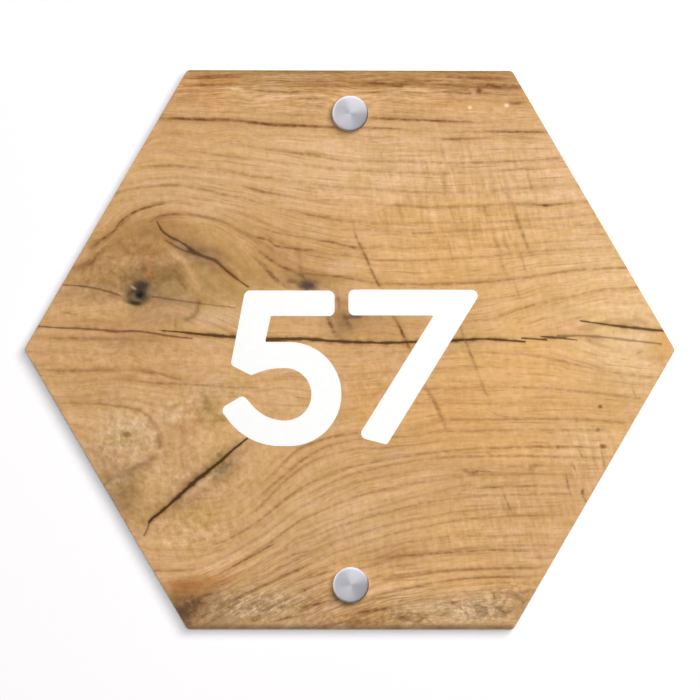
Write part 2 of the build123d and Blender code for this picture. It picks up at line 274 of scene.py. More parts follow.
# Short streaks of the grain: how dark each is, half its width in pixels, then its points.
streaks_px = [
    (0.9, 1.6, [(184, 78), (198, 77.5), (212, 77.3), (224, 77)]),
    (0.5, 1.2, [(222, 77), (234, 77), (246, 78)]),
    (0.7, 1.5, [(182, 88), (196, 85), (212, 84.5), (230, 84.5)]),
    (0.8, 1.0, [(234, 87.5), (246, 87.5)]),
    (0.6, 1.0, [(248, 80), (262, 79.5), (284, 80)]),
    (1.1, 0.9, [(308, 81), (320, 80.5), (340, 81)]),
    (1.1, 1.1, [(246, 89), (258, 90), (272, 91), (290, 91.5), (316, 91)]),
    (0.7, 1.0, [(246, 94.5), (260, 95.5)]),
    (0.5, 1.0, [(262, 97.5), (280, 97), (300, 98)]),
    (1.0, 1.1, [(284, 97.5), (300, 98), (312, 98.2), (330, 97.8)]),
    (0.8, 1.4, [(306, 101), (309, 104.5), (318, 105.5), (330, 107)]),
    (0.6, 1.0, [(230, 101.5), (250, 102.5)]),
    (0.5, 0.9, [(188, 107), (202, 106), (218, 107)]),
    (0.7, 0.9, [(270, 114.5), (290, 114.5), (315, 115)]),
    (1.5, 1.5, [(170, 117.5), (176, 118), (190, 119), (206, 119.3), (222, 119.5), (240, 120.5)]),
    (1.5, 1.5, [(234, 120), (255, 122.5), (275, 124.6), (300, 125.3), (332, 127)]),
    (1.1, 1.2, [(436, 76), (451, 76), (470, 76.5), (490, 77), (513, 77)]),
    (1.3, 1.4, [(350, 81.5), (372, 82), (394, 83), (424, 82.5)]),
    (1.4, 1.5, [(388, 84), (398, 85), (410, 83.5)]),
    (0.9, 1.2, [(430, 83), (450, 83.5), (466, 83.5)]),
    (1.3, 2.2, [(480, 85), (488, 84.5), (502, 85.5), (514, 85.5), (524, 85)]),
    (0.7, 1.2, [(355, 91), (375, 91.5), (392, 92)]),
    (0.8, 1.2, [(436, 91), (455, 91), (470, 92), (500, 92)]),
    (1.3, 1.4, [(509, 102.5), (515, 102.3), (524, 102.3)]),
    (0.8, 0.9, [(386, 111.5), (402, 111.3), (420, 112)]),
    (0.5, 1.8, [(486, 107), (490, 107.5), (494, 110)]),
    (1.3, 1.1, [(368, 117), (386, 118), (400, 118.7), (425, 119.5), (445, 120.5), (474, 121)]),
    (1.1, 1.0, [(360, 127), (380, 127.5), (402, 128)]),
    (1.2, 1.1, [(484, 130.5), (505, 130.8), (526, 131), (548, 131.2)]),
    (1.0, 1.0, [(520, 131), (536, 131.5), (549, 131)]),
    (1.0, 1.1, [(444, 138.8), (456, 138.8), (470, 138.2)]),
    (1.3, 1.0, [(225, 571.7), (240, 563), (253, 556), (265, 549), (276, 543)]),
    (1.1, 1.6, [(196, 601), (203, 597), (212, 594), (221, 591)]),
    (1.0, 1.1, [(221, 609), (237, 598.5), (253, 590), (270, 582.5), (284, 575.5), (297, 570),
                (312, 564)]),
    (0.6, 1.2, [(248, 582), (253, 579.5), (259, 577)]),
    (1.0, 1.1, [(280, 561), (293, 555), (308, 551.5)]),
    (1.1, 1.3, [(307, 579), (314, 577), (324, 573), (334, 571)]),
    (1.2, 1.6, [(302, 592), (305, 590), (308, 588)]),
    (0.9, 1.6, [(293, 572.5), (297, 571), (300, 568)]),
    (1.2, 1.3, [(303, 608), (312, 605.5), (323, 603), (336, 599.5)]),
    (1.0, 1.2, [(270, 622.5), (280, 620), (290, 617.5), (301, 616)]),
    (1.0, 2.2, [(249, 621), (255, 619), (262, 616)]),
    (1.0, 1.2, [(320, 627), (340, 623), (356, 621), (372, 619)]),
    (1.2, 1.6, [(194, 624), (201, 618), (208, 612)]),
    (0.8, 1.4, [(200, 628), (212, 621), (222, 615), (232, 610)]),
    (0.8, 1.4, [(377, 558), (400, 556.5), (427, 554.7), (453, 552.5), (477, 551), (503, 550),
                (546, 551)]),
    (0.6, 1.0, [(524, 558), (538, 558), (553, 558)]),
    (0.7, 1.0, [(388, 567.5), (402, 566), (418, 565)]),
    (0.7, 1.3, [(374, 581), (393, 578.7), (418, 576), (432, 573), (453, 571), (490, 569.5),
                (534, 568.5)]),
    (0.7, 1.2, [(440, 580.5), (463, 579), (497, 577.5), (524, 577.5)]),
    (0.8, 1.1, [(398, 591.5), (418, 587.5), (433, 586.5)]),
    (0.8, 1.2, [(368, 599.5), (387, 597.5), (407, 594)]),
    (1.3, 1.5, [(354, 614), (368, 611.5), (380, 609.5), (399, 608)]),
    (1.1, 1.6, [(350, 624), (365, 623), (382, 622)]),
    (1.2, 1.8, [(397, 618.5), (402, 618), (407, 619)]),
    (1.0, 1.6, [(414, 623), (419, 621), (426, 616)]),
    (1.0, 1.6, [(436, 616), (441, 615), (448, 614)]),
    (1.1, 1.8, [(449, 603.5), (452, 603), (455, 603)]),
    (0.9, 1.4, [(397, 603), (400, 601.5), (403, 600)]),
    (1.0, 1.6, [(497, 607), (501, 611), (505, 613.5), (511, 611)]),
    (0.9, 1.2, [(492, 592), (494, 597), (496, 603)]),
    (0.8, 2.0, [(512, 594), (519, 596), (527, 593)]),
    (1.0, 1.6, [(517, 598), (523, 602), (528, 600)]),
    (0.7, 1.4, [(470, 608), (478, 606), (486, 609), (484, 616), (474, 618)]),
    (0.9, 1.1, [(60, 312), (74, 315), (80, 315)]),
    (0.6, 2.4, [(46, 340), (70, 339), (96, 339.5), (132, 341)]),
    (0.6, 2.2, [(50, 372), (62, 372.5), (80, 371.5), (110, 371)]),
    (0.8, 2.2, [(138, 371), (150, 372.5), (160, 375)]),
    (0.8, 1.2, [(160, 374), (170, 378), (180, 380.5)]),
    (1.3, 1.2, [(90, 247), (99, 242), (107, 236), (113, 232), (120, 222.5), (129, 215),
                (139, 210), (150, 207), (164, 204)]),
    (0.9, 1.5, [(91, 248.5), (97, 244.5), (102, 241)]),
    (0.9, 1.6, [(83, 268), (91, 264), (97, 256), (103, 249)]),
    (1.0, 1.3, [(151, 221.5), (158, 217), (170, 214.5), (182, 215)]),
    (0.5, 1.2, [(190, 214), (203, 217), (216, 219)]),
    (0.6, 1.1, [(60, 286), (76, 286.5), (90, 288.5), (104, 291.5), (121, 296)]),
    (0.5, 1.2, [(152, 297), (166, 299), (182, 302), (200, 305)]),
    (0.8, 1.2, [(252, 190), (264, 192.5), (279, 194.5)]),
    (0.7, 1.0, [(283, 208), (297, 211), (307, 214), (318, 216), (333, 217.5)]),
    (1.0, 1.3, [(326, 216.5), (329, 217), (332, 217.5)]),
    (0.7, 1.1, [(261, 226), (270, 231), (282, 234), (296, 236.5), (312, 238)]),
    (1.0, 1.4, [(243, 232), (256, 237), (268, 240), (276, 246), (290, 248), (303, 250),
                (318, 250)]),
    (1.1, 1.2, [(317, 241), (330, 241.5), (342, 245), (352, 247.5), (361, 249.5)]),
    (0.9, 1.1, [(306, 254.5), (320, 257), (338, 260.5)]),
    (0.5, 1.0, [(330, 247), (345, 253), (360, 254)]),
    (1.1, 1.5, [(254, 248), (268, 258), (280, 266), (292, 271), (302, 276), (306, 282)]),
    (1.1, 2.0, [(256, 259), (266, 269), (276, 280), (289, 288)]),
    (0.9, 1.3, [(299, 273.5), (315, 274.5), (330, 276), (345, 278), (365, 281.5)]),
    (0.5, 1.4, [(279, 282), (284, 285.5), (291, 287)]),
    (0.5, 1.2, [(281, 272), (290, 271), (297, 275)]),
    (1.1, 2.0, [(326, 314), (329, 321), (333, 330), (337, 337)]),
    (1.0, 2.2, [(343, 313), (347, 322), (352, 332)]),
    (1.0, 1.8, [(351, 317), (358, 317), (366, 316)]),
    (0.8, 1.5, [(337, 291), (338, 300), (340, 311)]),
    (0.5, 1.3, [(467, 142), (471, 155), (475, 168)]),
    (0.4, 1.6, [(440, 143), (442, 150), (444, 157)]),
    (0.45, 1.5, [(426, 160), (428, 171), (431, 182)]),
    (0.4, 2.0, [(444, 168), (445, 184), (446, 200)]),
    (0.45, 1.8, [(490, 167), (493, 184), (497, 200)]),
    (0.5, 1.5, [(527, 167), (530, 180), (534, 193)]),
    (0.5, 2.0, [(505, 186), (510, 198), (516, 212)]),
    (0.4, 1.8, [(397, 203), (400, 211), (403, 219)]),
    (0.4, 1.8, [(405, 186), (408, 194), (410, 202)]),
    (0.4, 1.8, [(454, 218), (457, 228), (460, 238)]),
    (0.4, 1.7, [(448, 238), (450, 249), (453, 261)]),
    (0.5, 2.0, [(483, 198), (486, 209), (490, 222)]),
    (0.5, 1.5, [(519, 250), (523, 261), (527, 273)]),
    (0.45, 1.5, [(500, 254), (503, 265), (507, 276)]),
    (0.8, 1.4, [(459, 322), (463, 334), (468, 347), (473, 360), (478, 372)]),
    (0.6, 1.4, [(478, 372), (482, 384), (486, 393), (490, 401)]),
    (1.1, 1.4, [(353, 228), (360, 245), (368, 262), (376, 280), (383, 291)]),
    (1.3, 1.5, [(392, 314), (400, 328), (406, 341), (412, 353)]),
    (0.8, 1.9, [(424, 384), (432, 398), (440, 415), (447, 432)]),
    (0.75, 1.8, [(513, 206), (517, 217), (521, 229), (526, 241), (532, 256)]),
    (0.6, 1.6, [(494, 237), (498, 245), (503, 253)]),
    (0.6, 1.6, [(504, 239), (508, 247), (511, 255)]),
    (0.5, 1.2, [(512, 277), (518, 292), (522, 302)]),
    (1.4, 2.0, [(464, 470), (470, 472.5), (477, 473.5)]),
    (1.2, 0.8, [(468, 469.5), (482, 471.5), (498, 472.5)]),
    (1.1, 2.4, [(528, 469), (534, 467), (539, 466)]),
    (0.7, 1.0, [(506, 467), (516, 466.5), (526, 469)]),
    (1.4, 1.4, [(538, 204.5), (546, 205), (556, 204.5)]),
    (0.9, 1.2, [(565, 471), (567, 480), (569, 489), (571, 496)]),
    (0.8, 1.2, [(571, 461), (574, 467), (576, 473)]),
    (0.8, 1.2, [(578, 449), (581, 454), (583, 459)]),
    (0.8, 1.1, [(601, 449), (603, 458), (605, 468)]),
    (0.9, 1.3, [(582, 492), (584, 498), (587, 504)]),
    (0.6, 1.1, [(632, 384), (634, 392), (637, 398)]),
    (0.7, 1.2, [(501, 488), (505, 498), (509, 508), (513, 518)]),
    (0.8, 1.3, [(528, 511), (530, 519)]),
    (0.9, 1.0, [(480, 487), (492, 487.5), (503, 487)]),
    (0.9, 1.0, [(513, 487), (524, 486.5), (536, 486)]),
    (0.7, 0.9, [(486, 409), (498, 415), (514, 418)]),
]

# The print's tones, as red, green and blue from 0 to 255, and where each lies: x and y of the
# middle, its two half-widths and its tilt, in pixels and degrees, and its strength.
wood_tones = {
    "oak": (214, 168, 116),
    "honey": (231, 181, 118),
    "peach": (229, 188, 143),
    "cream": (238, 200, 150),
    "amber": (220, 163, 99),
    "tan": (198, 152, 102),
    "fawn": (179, 139, 95),
    "brown": (184, 136, 84),
    "rust": (168, 110, 62),
    "gold": (192, 149, 88),
    "olive": (168, 134, 80),
    "umber": (128, 96, 56),
    "smoke": (146, 118, 82),
    "ash": (214, 180, 138),
    "plum": (112, 84, 66),
    "soot": (86, 62, 46),
}
tone_patches_px = [
    ("brown", 350, 76, 190, 12, 0, .8),
    ("olive", 300, 76, 60, 8, 0, .4),
    ("brown", 200, 86, 30, 12, 0, .6),
    ("rust", 205, 78, 30, 6, 0, .5),
    ("rust", 500, 82, 50, 12, 0, .45),
    ("smoke", 480, 91, 34, 9, 0, .7),
    ("tan", 250, 112, 70, 16, 0, .4),
    ("tan", 205, 122, 40, 8, 0, .5),
    ("tan", 390, 106, 60, 12, 0, .7),
    ("brown", 168, 124, 30, 10, -60, .5),
    ("peach", 375, 160, 125, 34, 0, .8),
    ("peach", 555, 168, 55, 46, -50, .6),
    ("ash", 180, 188, 60, 18, 10, .4),
    ("tan", 300, 225, 80, 26, -18, .45),
    ("honey", 470, 245, 150, 60, 0, .6),
    ("cream", 612, 285, 74, 66, 0, .75),
    ("umber", 138, 270, 58, 32, 0, .42),
    ("brown", 168, 242, 60, 17, -10, .6),
    ("gold", 195, 236, 40, 14, -18, .9),
    ("brown", 167, 223, 12, 9, -30, .7),
    ("brown", 118, 268, 60, 34, 25, .55),
    ("rust", 148, 244, 32, 18, 5, .5),
    ("umber", 100, 262, 26, 9, 30, .4),
    ("olive", 215, 280, 44, 15, -32, .8),
    ("umber", 222, 263, 20, 9, -36, .75),
    ("umber", 170, 278, 16, 13, 0, .8),
    ("umber", 143, 273, 17, 12, 0, .85),
    ("smoke", 160, 293, 30, 11, 0, .8),
    ("fawn", 155, 316, 44, 10, 0, .7),
    ("ash", 217, 318, 24, 10, 0, .8),
    ("fawn", 92, 292, 40, 12, 0, 1),
    ("oak", 84, 311, 38, 6, 0, .9),
    ("brown", 110, 327, 70, 6, -2, .7),
    ("brown", 128, 341, 38, 6, 0, .7),
    ("olive", 256, 276, 18, 12, 0, .6),
    ("tan", 262, 245, 50, 18, -30, .6),
    ("umber", 305, 278, 30, 11, -10, .7),
    ("brown", 320, 266, 30, 11, -10, .5),
    ("plum", 307, 286, 12, 5, 0, .8),
    ("fawn", 341, 302, 12, 14, 0, .8),
    ("fawn", 340, 328, 16, 12, 0, .9),
    ("brown", 385, 330, 44, 14, 0, .55),
    ("brown", 362, 322, 30, 9, 0, .5),
    ("umber", 466, 341, 22, 9, 10, .5),
    ("tan", 60, 335, 34, 30, 0, .4),
    ("brown", 140, 372, 60, 16, 0, .5),
    ("tan", 96, 398, 50, 22, 0, .7),
    ("ash", 126, 432, 32, 26, 0, .9),
    ("ash", 172, 410, 10, 12, 0, .6),
    ("ash", 215, 388, 34, 9, 0, .5),
    ("olive", 208, 410, 14, 16, 0, .7),
    ("smoke", 118, 478, 30, 30, 0, .45),
    ("umber", 122, 500, 14, 30, 30, .55),
    ("umber", 150, 461, 20, 8, 28, .6),
    ("umber", 131, 489, 9, 16, 0, .5),
    ("tan", 172, 442, 36, 26, 0, .4),
    ("umber", 190, 487, 60, 12, 38, .6),
    ("smoke", 224, 464, 22, 11, 38, .5),
    ("gold", 205, 512, 36, 22, 0, .7),
    ("ash", 290, 395, 26, 26, 0, .2),
    ("tan", 372, 385, 26, 26, 0, .4),
    ("amber", 450, 405, 46, 24, 0, .8),
    ("honey", 520, 372, 90, 34, 0, .6),
    ("amber", 560, 404, 60, 22, 0, .3),
    ("tan", 560, 333, 40, 5, 0, .4),
    ("cream", 628, 345, 60, 44, 0, .8),
    ("honey", 610, 425, 30, 26, 0, .4),
    ("tan", 505, 469, 60, 9, 0, .6),
    ("tan", 430, 480, 40, 16, 8, .3),
    ("tan", 290, 470, 50, 20, 35, .3),
    ("tan", 245, 535, 60, 20, 35, .4),
    ("fawn", 305, 555, 50, 14, 25, .4),
    ("brown", 392, 556, 40, 9, 12, .7),
    ("rust", 193, 586, 34, 9, 12, .95),
    ("amber", 212, 577, 26, 6, 16, .6),
    ("rust", 172, 592, 12, 6, 10, .6),
    ("umber", 190, 601, 24, 7, 4, .75),
    ("soot", 184, 613, 13, 15, -60, .9),
    ("smoke", 218, 610, 22, 16, 10, .75),
    ("fawn", 265, 612, 60, 14, 10, .4),
    ("brown", 315, 612, 30, 12, 10, .5),
    ("rust", 362, 614, 36, 12, 10, .6),
    ("fawn", 425, 614, 36, 9, 5, .4),
    ("ash", 470, 608, 44, 14, 5, .7),
    # painted shade: a thin dark band laid along the bottom edge
    ("smoke", 350, 627, 170, 4, 0, .8),
    ("brown", 535, 585, 10, 30, -60, .4),
    ("honey", 515, 450, 64, 24, 0, .7),
    ("honey", 475, 577, 54, 10, 0, .6),
    ("peach", 520, 560, 30, 12, 0, .5),
    ("peach", 222, 565, 34, 8, 8, .6),
    ("ash", 262, 600, 46, 15, 12, .75),
    ("ash", 300, 622, 40, 8, 5, .4),
    ("peach", 365, 518, 26, 14, 0, .5),
    ("peach", 405, 592, 34, 14, 5, .6),
    ("peach", 215, 208, 28, 10, 10, .75),
    ("peach", 302, 188, 38, 14, 5, .6),
    ("peach", 345, 264, 18, 14, 0, .4),
    ("umber", 124, 281, 30, 12, 0, .5),
    ("umber", 142, 297, 14, 12, 0, .6),
    ("plum", 203, 254, 24, 7, -25, .5),
    ("olive", 203, 298, 20, 12, 0, .6),
    ("brown", 165, 242, 26, 16, 0, .35),
    ("umber", 341, 320, 10, 12, 0, .4),
    ("brown", 195, 99, 26, 9, 0, .4),
    ("ash", 178, 470, 26, 46, 0, .3),
    ("gold", 242, 275, 28, 12, -30, .5),
    ("amber", 500, 104, 34, 9, 0, .45),
    ("olive", 288, 278, 13, 8, 0, .55),
    ("brown", 138, 250, 36, 22, 0, .55),
    ("umber", 150, 262, 30, 14, 0, .35),
    ("tan", 178, 455, 26, 20, 0, .7),
    ("fawn", 172, 314, 30, 12, 0, .5),
    ("smoke", 345, 324, 12, 10, 0, .5),
    ("ash", 480, 611, 40, 14, 0, .8),
    ("ash", 238, 609, 34, 14, 10, .6),
    ("tan", 152, 342, 30, 12, 0, .7),
    ("tan", 192, 492, 18, 16, 0, .7),
    ("umber", 197, 477, 34, 4, 40, .4),
    ("cream", 590, 446, 30, 20, 0, .5),
    ("honey", 535, 342, 60, 50, 0, .6),
    ("rust", 184, 606, 16, 10, 0, .4),
    ("soot", 186, 616, 12, 17, -60, .45),
    ("rust", 190, 608, 20, 12, -60, .45),
    ("rust", 184, 589, 28, 8, 8, .6),
    ("brown", 152, 236, 26, 14, 0, .7),
    ("umber", 202, 258, 26, 12, -20, .45),
    ("brown", 265, 262, 20, 22, 0, .5),
    ("tan", 126, 343, 34, 7, 0, .8),
    ("tan", 250, 124, 80, 6, -3, .5),
    ("brown", 395, 78, 60, 8, 0, .5),
    ("fawn", 300, 78, 74, 9, 0, .5),
    ("tan", 355, 318, 50, 9, 0, .5),
    ("oak", 568, 305, 20, 44, 0, .5),
    ("smoke", 222, 612, 24, 12, 10, .5),
    ("fawn", 285, 612, 60, 12, 10, .4),
    ("brown", 315, 592, 22, 20, 0, .4),
    ("brown", 518, 606, 10, 14, -60, .5),
    ("brown", 518, 98, 12, 12, 0, .4),
    ("peach", 552, 190, 30, 18, 0, .5),
    ("ash", 150, 440, 24, 22, 0, .5),
    ("amber", 368, 405, 20, 34, 0, .5),
    ("amber", 395, 582, 24, 9, 0, .4),
    ("amber", 666, 345, 14, 22, 0, .8),
    ("umber", 150, 238, 36, 18, 0, .22),
    ("brown", 202, 252, 28, 14, -20, .4),
    ("brown", 290, 256, 16, 12, 0, .4),
    ("fawn", 128, 342, 28, 8, 0, .6),
    ("umber", 190, 496, 18, 8, 40, .3),
    ("tan", 232, 474, 26, 12, 30, .6),
    ("fawn", 365, 320, 38, 9, 0, .45),
    ("brown", 415, 347, 20, 7, 0, .35),
    ("tan", 190, 430, 16, 10, 0, .5),
    ("umber", 408, 79, 50, 7, 0, .3),
    ("honey", 465, 364, 20, 10, 0, .5),
    ("ash", 390, 363, 20, 9, 0, .5),
    ("ash", 290, 600, 26, 20, 0, .45),
    ("ash", 402, 607, 28, 10, 0, .5),
    ("ash", 340, 606, 22, 8, 0, .4),
    ("peach", 512, 584, 18, 10, 0, .4),
    ("cream", 565, 298, 20, 14, 0, .4),
    ("honey", 452, 530, 42, 20, 0, .35),
    ("amber", 490, 562, 24, 9, 0, .5),
    ("amber", 470, 584, 50, 9, 0, .3),
    ("peach", 178, 545, 26, 16, 0, .35),
    ("peach", 316, 490, 26, 14, 0, .35),
    ("ash", 320, 530, 80, 34, 0, .3),
    ("peach", 262, 101, 60, 8, 0, .3),
    ("peach", 335, 146, 46, 12, 0, .35),
    ("peach", 352, 187, 62, 14, 0, .4),
    ("peach", 315, 232, 18, 10, 0, .35),
    ("peach", 515, 176, 70, 22, 0, .3),
    ("amber", 455, 101, 32, 9, 0, .35),
    ("rust", 204, 88, 26, 12, 0, .25),
    ("gold", 240, 286, 34, 12, -20, .3),
    ("honey", 612, 288, 44, 20, 0, .4),
    ("amber", 528, 366, 54, 12, 0, .35),
    ("honey", 500, 408, 60, 16, 0, .3),
    ("amber", 186, 82, 10, 7, 0, .7),
    ("amber", 222, 80.5, 24, 3.5, 0, .6),
    ("rust", 328, 86, 26, 8, 0, .35),
    ("rust", 400, 76, 36, 4, 0, .35),
    ("cream", 272, 96, 28, 4, 0, .5),
    ("cream", 236, 89, 7, 3.5, 0, .6),
    ("ash", 270, 83, 9, 3.5, 0, .55),
    ("ash", 293, 74, 9, 4, 0, .55),
    ("olive", 250, 79, 13, 6, 0, .5),
    ("peach", 410, 90, 18, 5, 0, .4),
    ("peach", 500, 112, 36, 9, 0, .3),
    ("umber", 341, 322, 14, 9, 0, .5),
    ("umber", 204, 254, 22, 9, -20, .35),
    ("fawn", 218, 475, 18, 10, 35, .5),
    ("tan", 340, 562, 14, 6, 0, .5),
    ("ash", 272, 606, 26, 10, 0, .5),
    ("ash", 416, 604, 20, 8, 0, .45),
    ("ash", 492, 596, 22, 16, 0, .45),
    ("ash", 214, 386, 15, 10, 0, .5),
    ("peach", 500, 497, 26, 12, 0, .35),
    ("ash", 390, 452, 18, 10, 0, .4),
    ("peach", 376, 178, 28, 16, 0, .35),
    ("tan", 166, 441, 12, 14, 0, .55),
    ("tan", 165, 386, 14, 9, 0, .5),
    ("umber", 152, 232, 24, 10, 0, .2),
    ("umber", 152, 276, 20, 10, 0, .2),
    ("fawn", 265, 277, 14, 9, 0, .5),
    ("tan", 450, 398, 30, 14, 0, .3),
    ("smoke", 224, 474, 20, 11, 35, .45),
    ("umber", 186, 498, 18, 9, 40, .35),
    ("gold", 264, 278, 14, 9, 0, .5),
    ("amber", 214, 100, 22, 8, 0, .45),
    ("amber", 378, 364, 24, 8, 0, .45),
    ("amber", 440, 432, 46, 28, 0, .35),
    ("amber", 502, 585, 26, 9, 0, .5),
    ("amber", 546, 291, 26, 12, 0, .35),
    ("amber", 440, 277, 26, 8, 0, .4),
    ("ash", 214, 342, 14, 8, 0, .4),
]

# Soft strokes of tone laid over those: the tone, half the width, the strength and the points.
tone_strokes_px = [
    ("umber", 3.2, 0.6, [(78, 269), (90, 262), (100, 251), (112, 243), (121, 241)]),
    ("umber", 2.2, 0.5, [(91, 248), (99, 242), (108, 237)]),
    ("oak", 2.4, 0.6, [(92, 258), (103, 247), (114, 239)]),
    ("olive", 2.0, 0.6, [(160, 215), (176, 213.5), (192, 214), (208, 218), (226, 224), (242, 233),
                         (256, 243)]),
    ("oak", 3.0, 0.55, [(166, 246), (180, 258), (190, 272), (197, 288)]),
    ("umber", 2.0, 0.8, [(175, 271), (180, 280), (185, 289)]),
    ("rust", 3.0, 0.6, [(151, 258), (149, 272), (147, 283)]),
    ("umber", 9.0, 0.4, [(176, 247), (190, 253), (206, 257), (218, 262)]),
    ("plum", 4.6, 0.9, [(181, 247), (190, 252), (200, 256), (214, 261)]),
    ("rust", 3.5, 0.5, [(213, 262), (224, 269), (236, 279)]),
    ("umber", 2.2, 0.8, [(199, 302), (198, 308), (194, 316), (186, 320)]),
    ("umber", 1.8, 0.7, [(176, 321), (175, 326)]),
    ("smoke", 3.0, 0.5, [(163, 301), (180, 303), (196, 304)]),
    ("brown", 2.6, 0.7, [(126, 408), (142, 412), (152, 420), (159, 432), (161, 446), (156, 453)]),
    ("umber", 2.0, 0.6, [(158, 436), (160, 446)]),
    ("umber", 2.4, 0.5, [(128, 472), (140, 466), (153, 458)]),
    ("peach", 1.8, 0.6, [(142, 453), (151, 451.5), (161, 452)]),
    ("umber", 2.0, 0.7, [(130, 481), (133, 496)]),
    ("umber", 3.0, 0.5, [(202, 394), (206, 401), (206, 409)]),
    ("brown", 4.0, 0.6, [(176, 428), (187, 431), (200, 421)]),
    ("olive", 3.0, 0.6, [(204, 420), (214, 421), (222, 419)]),
    ("ash", 3.0, 0.7, [(109, 486), (117, 481), (128, 483)]),
    ("umber", 2.0, 0.6, [(103, 487), (111, 480)]),
    ("ash", 2.0, 0.5, [(184, 499), (200, 484), (222, 470)]),
    ("umber", 4.0, 0.6, [(172, 597), (186, 597), (201, 600)]),
    ("soot", 4.0, 0.7, [(177, 604), (183, 612), (190, 625)]),
    ("brown", 3.0, 0.6, [(202, 589), (216, 584), (232, 584)]),
    # painted shade: a dark stroke along the bottom edge
    ("plum", 2.9, 0.85, [(188, 628), (350, 628.5), (510, 628)]),
    ("umber", 2.6, 0.45, [(299, 250), (300, 262), (301, 274), (303, 284)]),
    ("olive", 2.4, 0.9, [(190, 70.5), (340, 70.5), (510, 70.5)]),
    ("umber", 1.2, 0.5, [(190, 70), (350, 70), (510, 70)]),
    ("rust", 1.5, 0.8, [(198, 76.5), (214, 76), (240, 76.5)]),
    ("rust", 1.3, 0.7, [(184, 85), (206, 84.5), (232, 84.5)]),
]

# Where the print shows saw marks, weathering, bold grain and mottle: ovals as above.
saw_marks_px = [(470, 205, 95, 60, 0, 1), (590, 470, 40, 45, -60, .9), (360, 550, 60, 40, 0, .4),
                (510, 515, 60, 40, 0, .9), (445, 540, 36, 16, 0, .8)]
weathered_px = [(250, 606, 70, 16, 0, 1), (400, 618, 50, 10, 0, 1), (480, 610, 50, 14, 0, 1),
                (345, 622, 50, 8, 0, .7), (510, 592, 26, 14, 0, .7), (106, 450, 22, 20, 0, .4),
                (118, 486, 14, 14, 0, .6)]
bold_px = [(350, 83, 220, 24, 0, 1), (262, 106, 80, 10, 0, .5), (340, 604, 170, 24, 0, .8),
           (250, 580, 60, 26, 0, .6)]
mottled_px = [(125, 275, 70, 42, 0, 1), (130, 440, 40, 46, 0, 1), (190, 480, 90, 60, 40, .9),
              (110, 365, 80, 30, 0, .5), (370, 385, 40, 40, 0, .4), (190, 530, 60, 28, 0, .9),
              (200, 410, 60, 30, 0, .9), (220, 612, 60, 14, 0, .8)]

# How finely the lines are traced, how wide a ring is and how dark a streak's ends are.
path_step = 0.45 * MM
ring_half_px = 1.4
faded_end = 0.35

# How far the face's lattice stays from the lines and the edges, how far a line is felt, and how
# far the grain may pass from the rings' own points. The batches keep the memory small.
line_clearance, edge_clearance = 0.25 * MM, 0.2 * MM
same_place, edge_stride = 0.05 * MM, 20
line_reach = 6 * MM
ring_slack = 8.0
batch, batches = 4000, 40


def srgb(red, green, blue):
    """A colour as it looks on a screen, from 0 to 255, as the linear values a shader takes."""
    levels = np.array([red, green, blue]) / 255
    linear = np.where(levels <= 0.04045, levels / 12.92, ((levels + 0.055) / 1.055) ** 2.4)
    return (*linear, 1.0)


def smooth_path(points, step):
    """Places every step or so, in metres, along a smooth curve through given points. What
    else a point carries goes with it."""
    given = np.array([(*from_photo(x, y), *values) for x, y, *values in points])
    ends = np.vstack([2 * given[0] - given[1], given, 2 * given[-1] - given[-2]])
    path = []
    for before, start, end, after in zip(ends, ends[1:], ends[2:], ends[3:]):
        count = max(2, int(np.linalg.norm(end[:2] - start[:2]) / step))
        for t in np.arange(count) / count:
            path.append(0.5 * (2 * start + (end - before) * t
                               + (2 * before - 5 * start + 4 * end - after) * t ** 2
                               + (3 * start - before - 3 * end + after) * t ** 3))
    path.append(given[-1])
    return np.array(path)


def nearest_line(places, paths, reach):
    """For each place, its distance to the nearest path and what that path carries there."""
    distance = np.full(len(places), reach)
    carried = np.zeros((len(places), paths[0].shape[1] - 2))
    for path in paths:
        low, high = path[:, :2].min(0) - reach, path[:, :2].max(0) + reach
        near = np.flatnonzero(((places > low) & (places < high)).all(1))
        for start in range(0, len(near), batch):
            some = near[start:start + batch]
            along = path[1:, :2] - path[:-1, :2]
            away = places[some][:, None, :] - path[None, :-1, :2]
            share = np.clip((away * along).sum(2) / (along ** 2).sum(1), 0, 1)
            gap = np.linalg.norm(away - share[..., None] * along, axis=2)
            best = gap.argmin(1)
            rows = np.arange(len(some))
            closer = gap[rows, best] < distance[some]
            between = share[rows, best][:, None] * (path[best + 1, 2:] - path[best, 2:])
            distance[some[closer]] = gap[rows, best][closer]
            carried[some[closer]] = (path[best, 2:] + between)[closer]
    return distance, carried.T


def grain_level(places):
    """How far up the grain each place lies, in millimetres: a thin plate through the rings."""
    rows = []
    for level, points in rings_px.items():
        for x, y, _ in points:
            rows.append((*from_photo(x, y), (photo_centre_px[1] - level) / photo_px_per_m))
    known = np.array(rows) / MM
    places = places / MM

    def plate_bend(a, b):
        square = ((a[:, None, :] - b[None, :, :]) ** 2).sum(2)
        return 0.5 * square * np.log(square + 1e-9)

    count = len(known)
    flat = np.column_stack([np.ones(count), known[:, :2]])
    system = np.zeros((count + 3, count + 3))
    system[:count, :count] = plate_bend(known[:, :2], known[:, :2]) + ring_slack * np.eye(count)
    system[:count, count:] = flat
    system[count:, :count] = flat.T
    weights = np.linalg.solve(system, np.append(known[:, 2], np.zeros(3)))
    bent = np.concatenate([plate_bend(part, known[:, :2]) @ weights[:count]
                           for part in np.array_split(places, batches)])
    return bent + weights[count] + places @ weights[count + 1:]


def patch(places, x_px, y_px, across_px, up_px, tilt, strength):
    """A soft oval on the face, from strength in its middle to nothing outside."""
    centre = np.array(from_photo(x_px, y_px))
    turn = radians(tilt)
    away = (places - centre) @ np.array([[cos(turn), -sin(turn)], [sin(turn), cos(turn)]])
    size = np.array([across_px, up_px]) / photo_px_per_m
    return strength * np.exp(-((away / size) ** 2).sum(1))


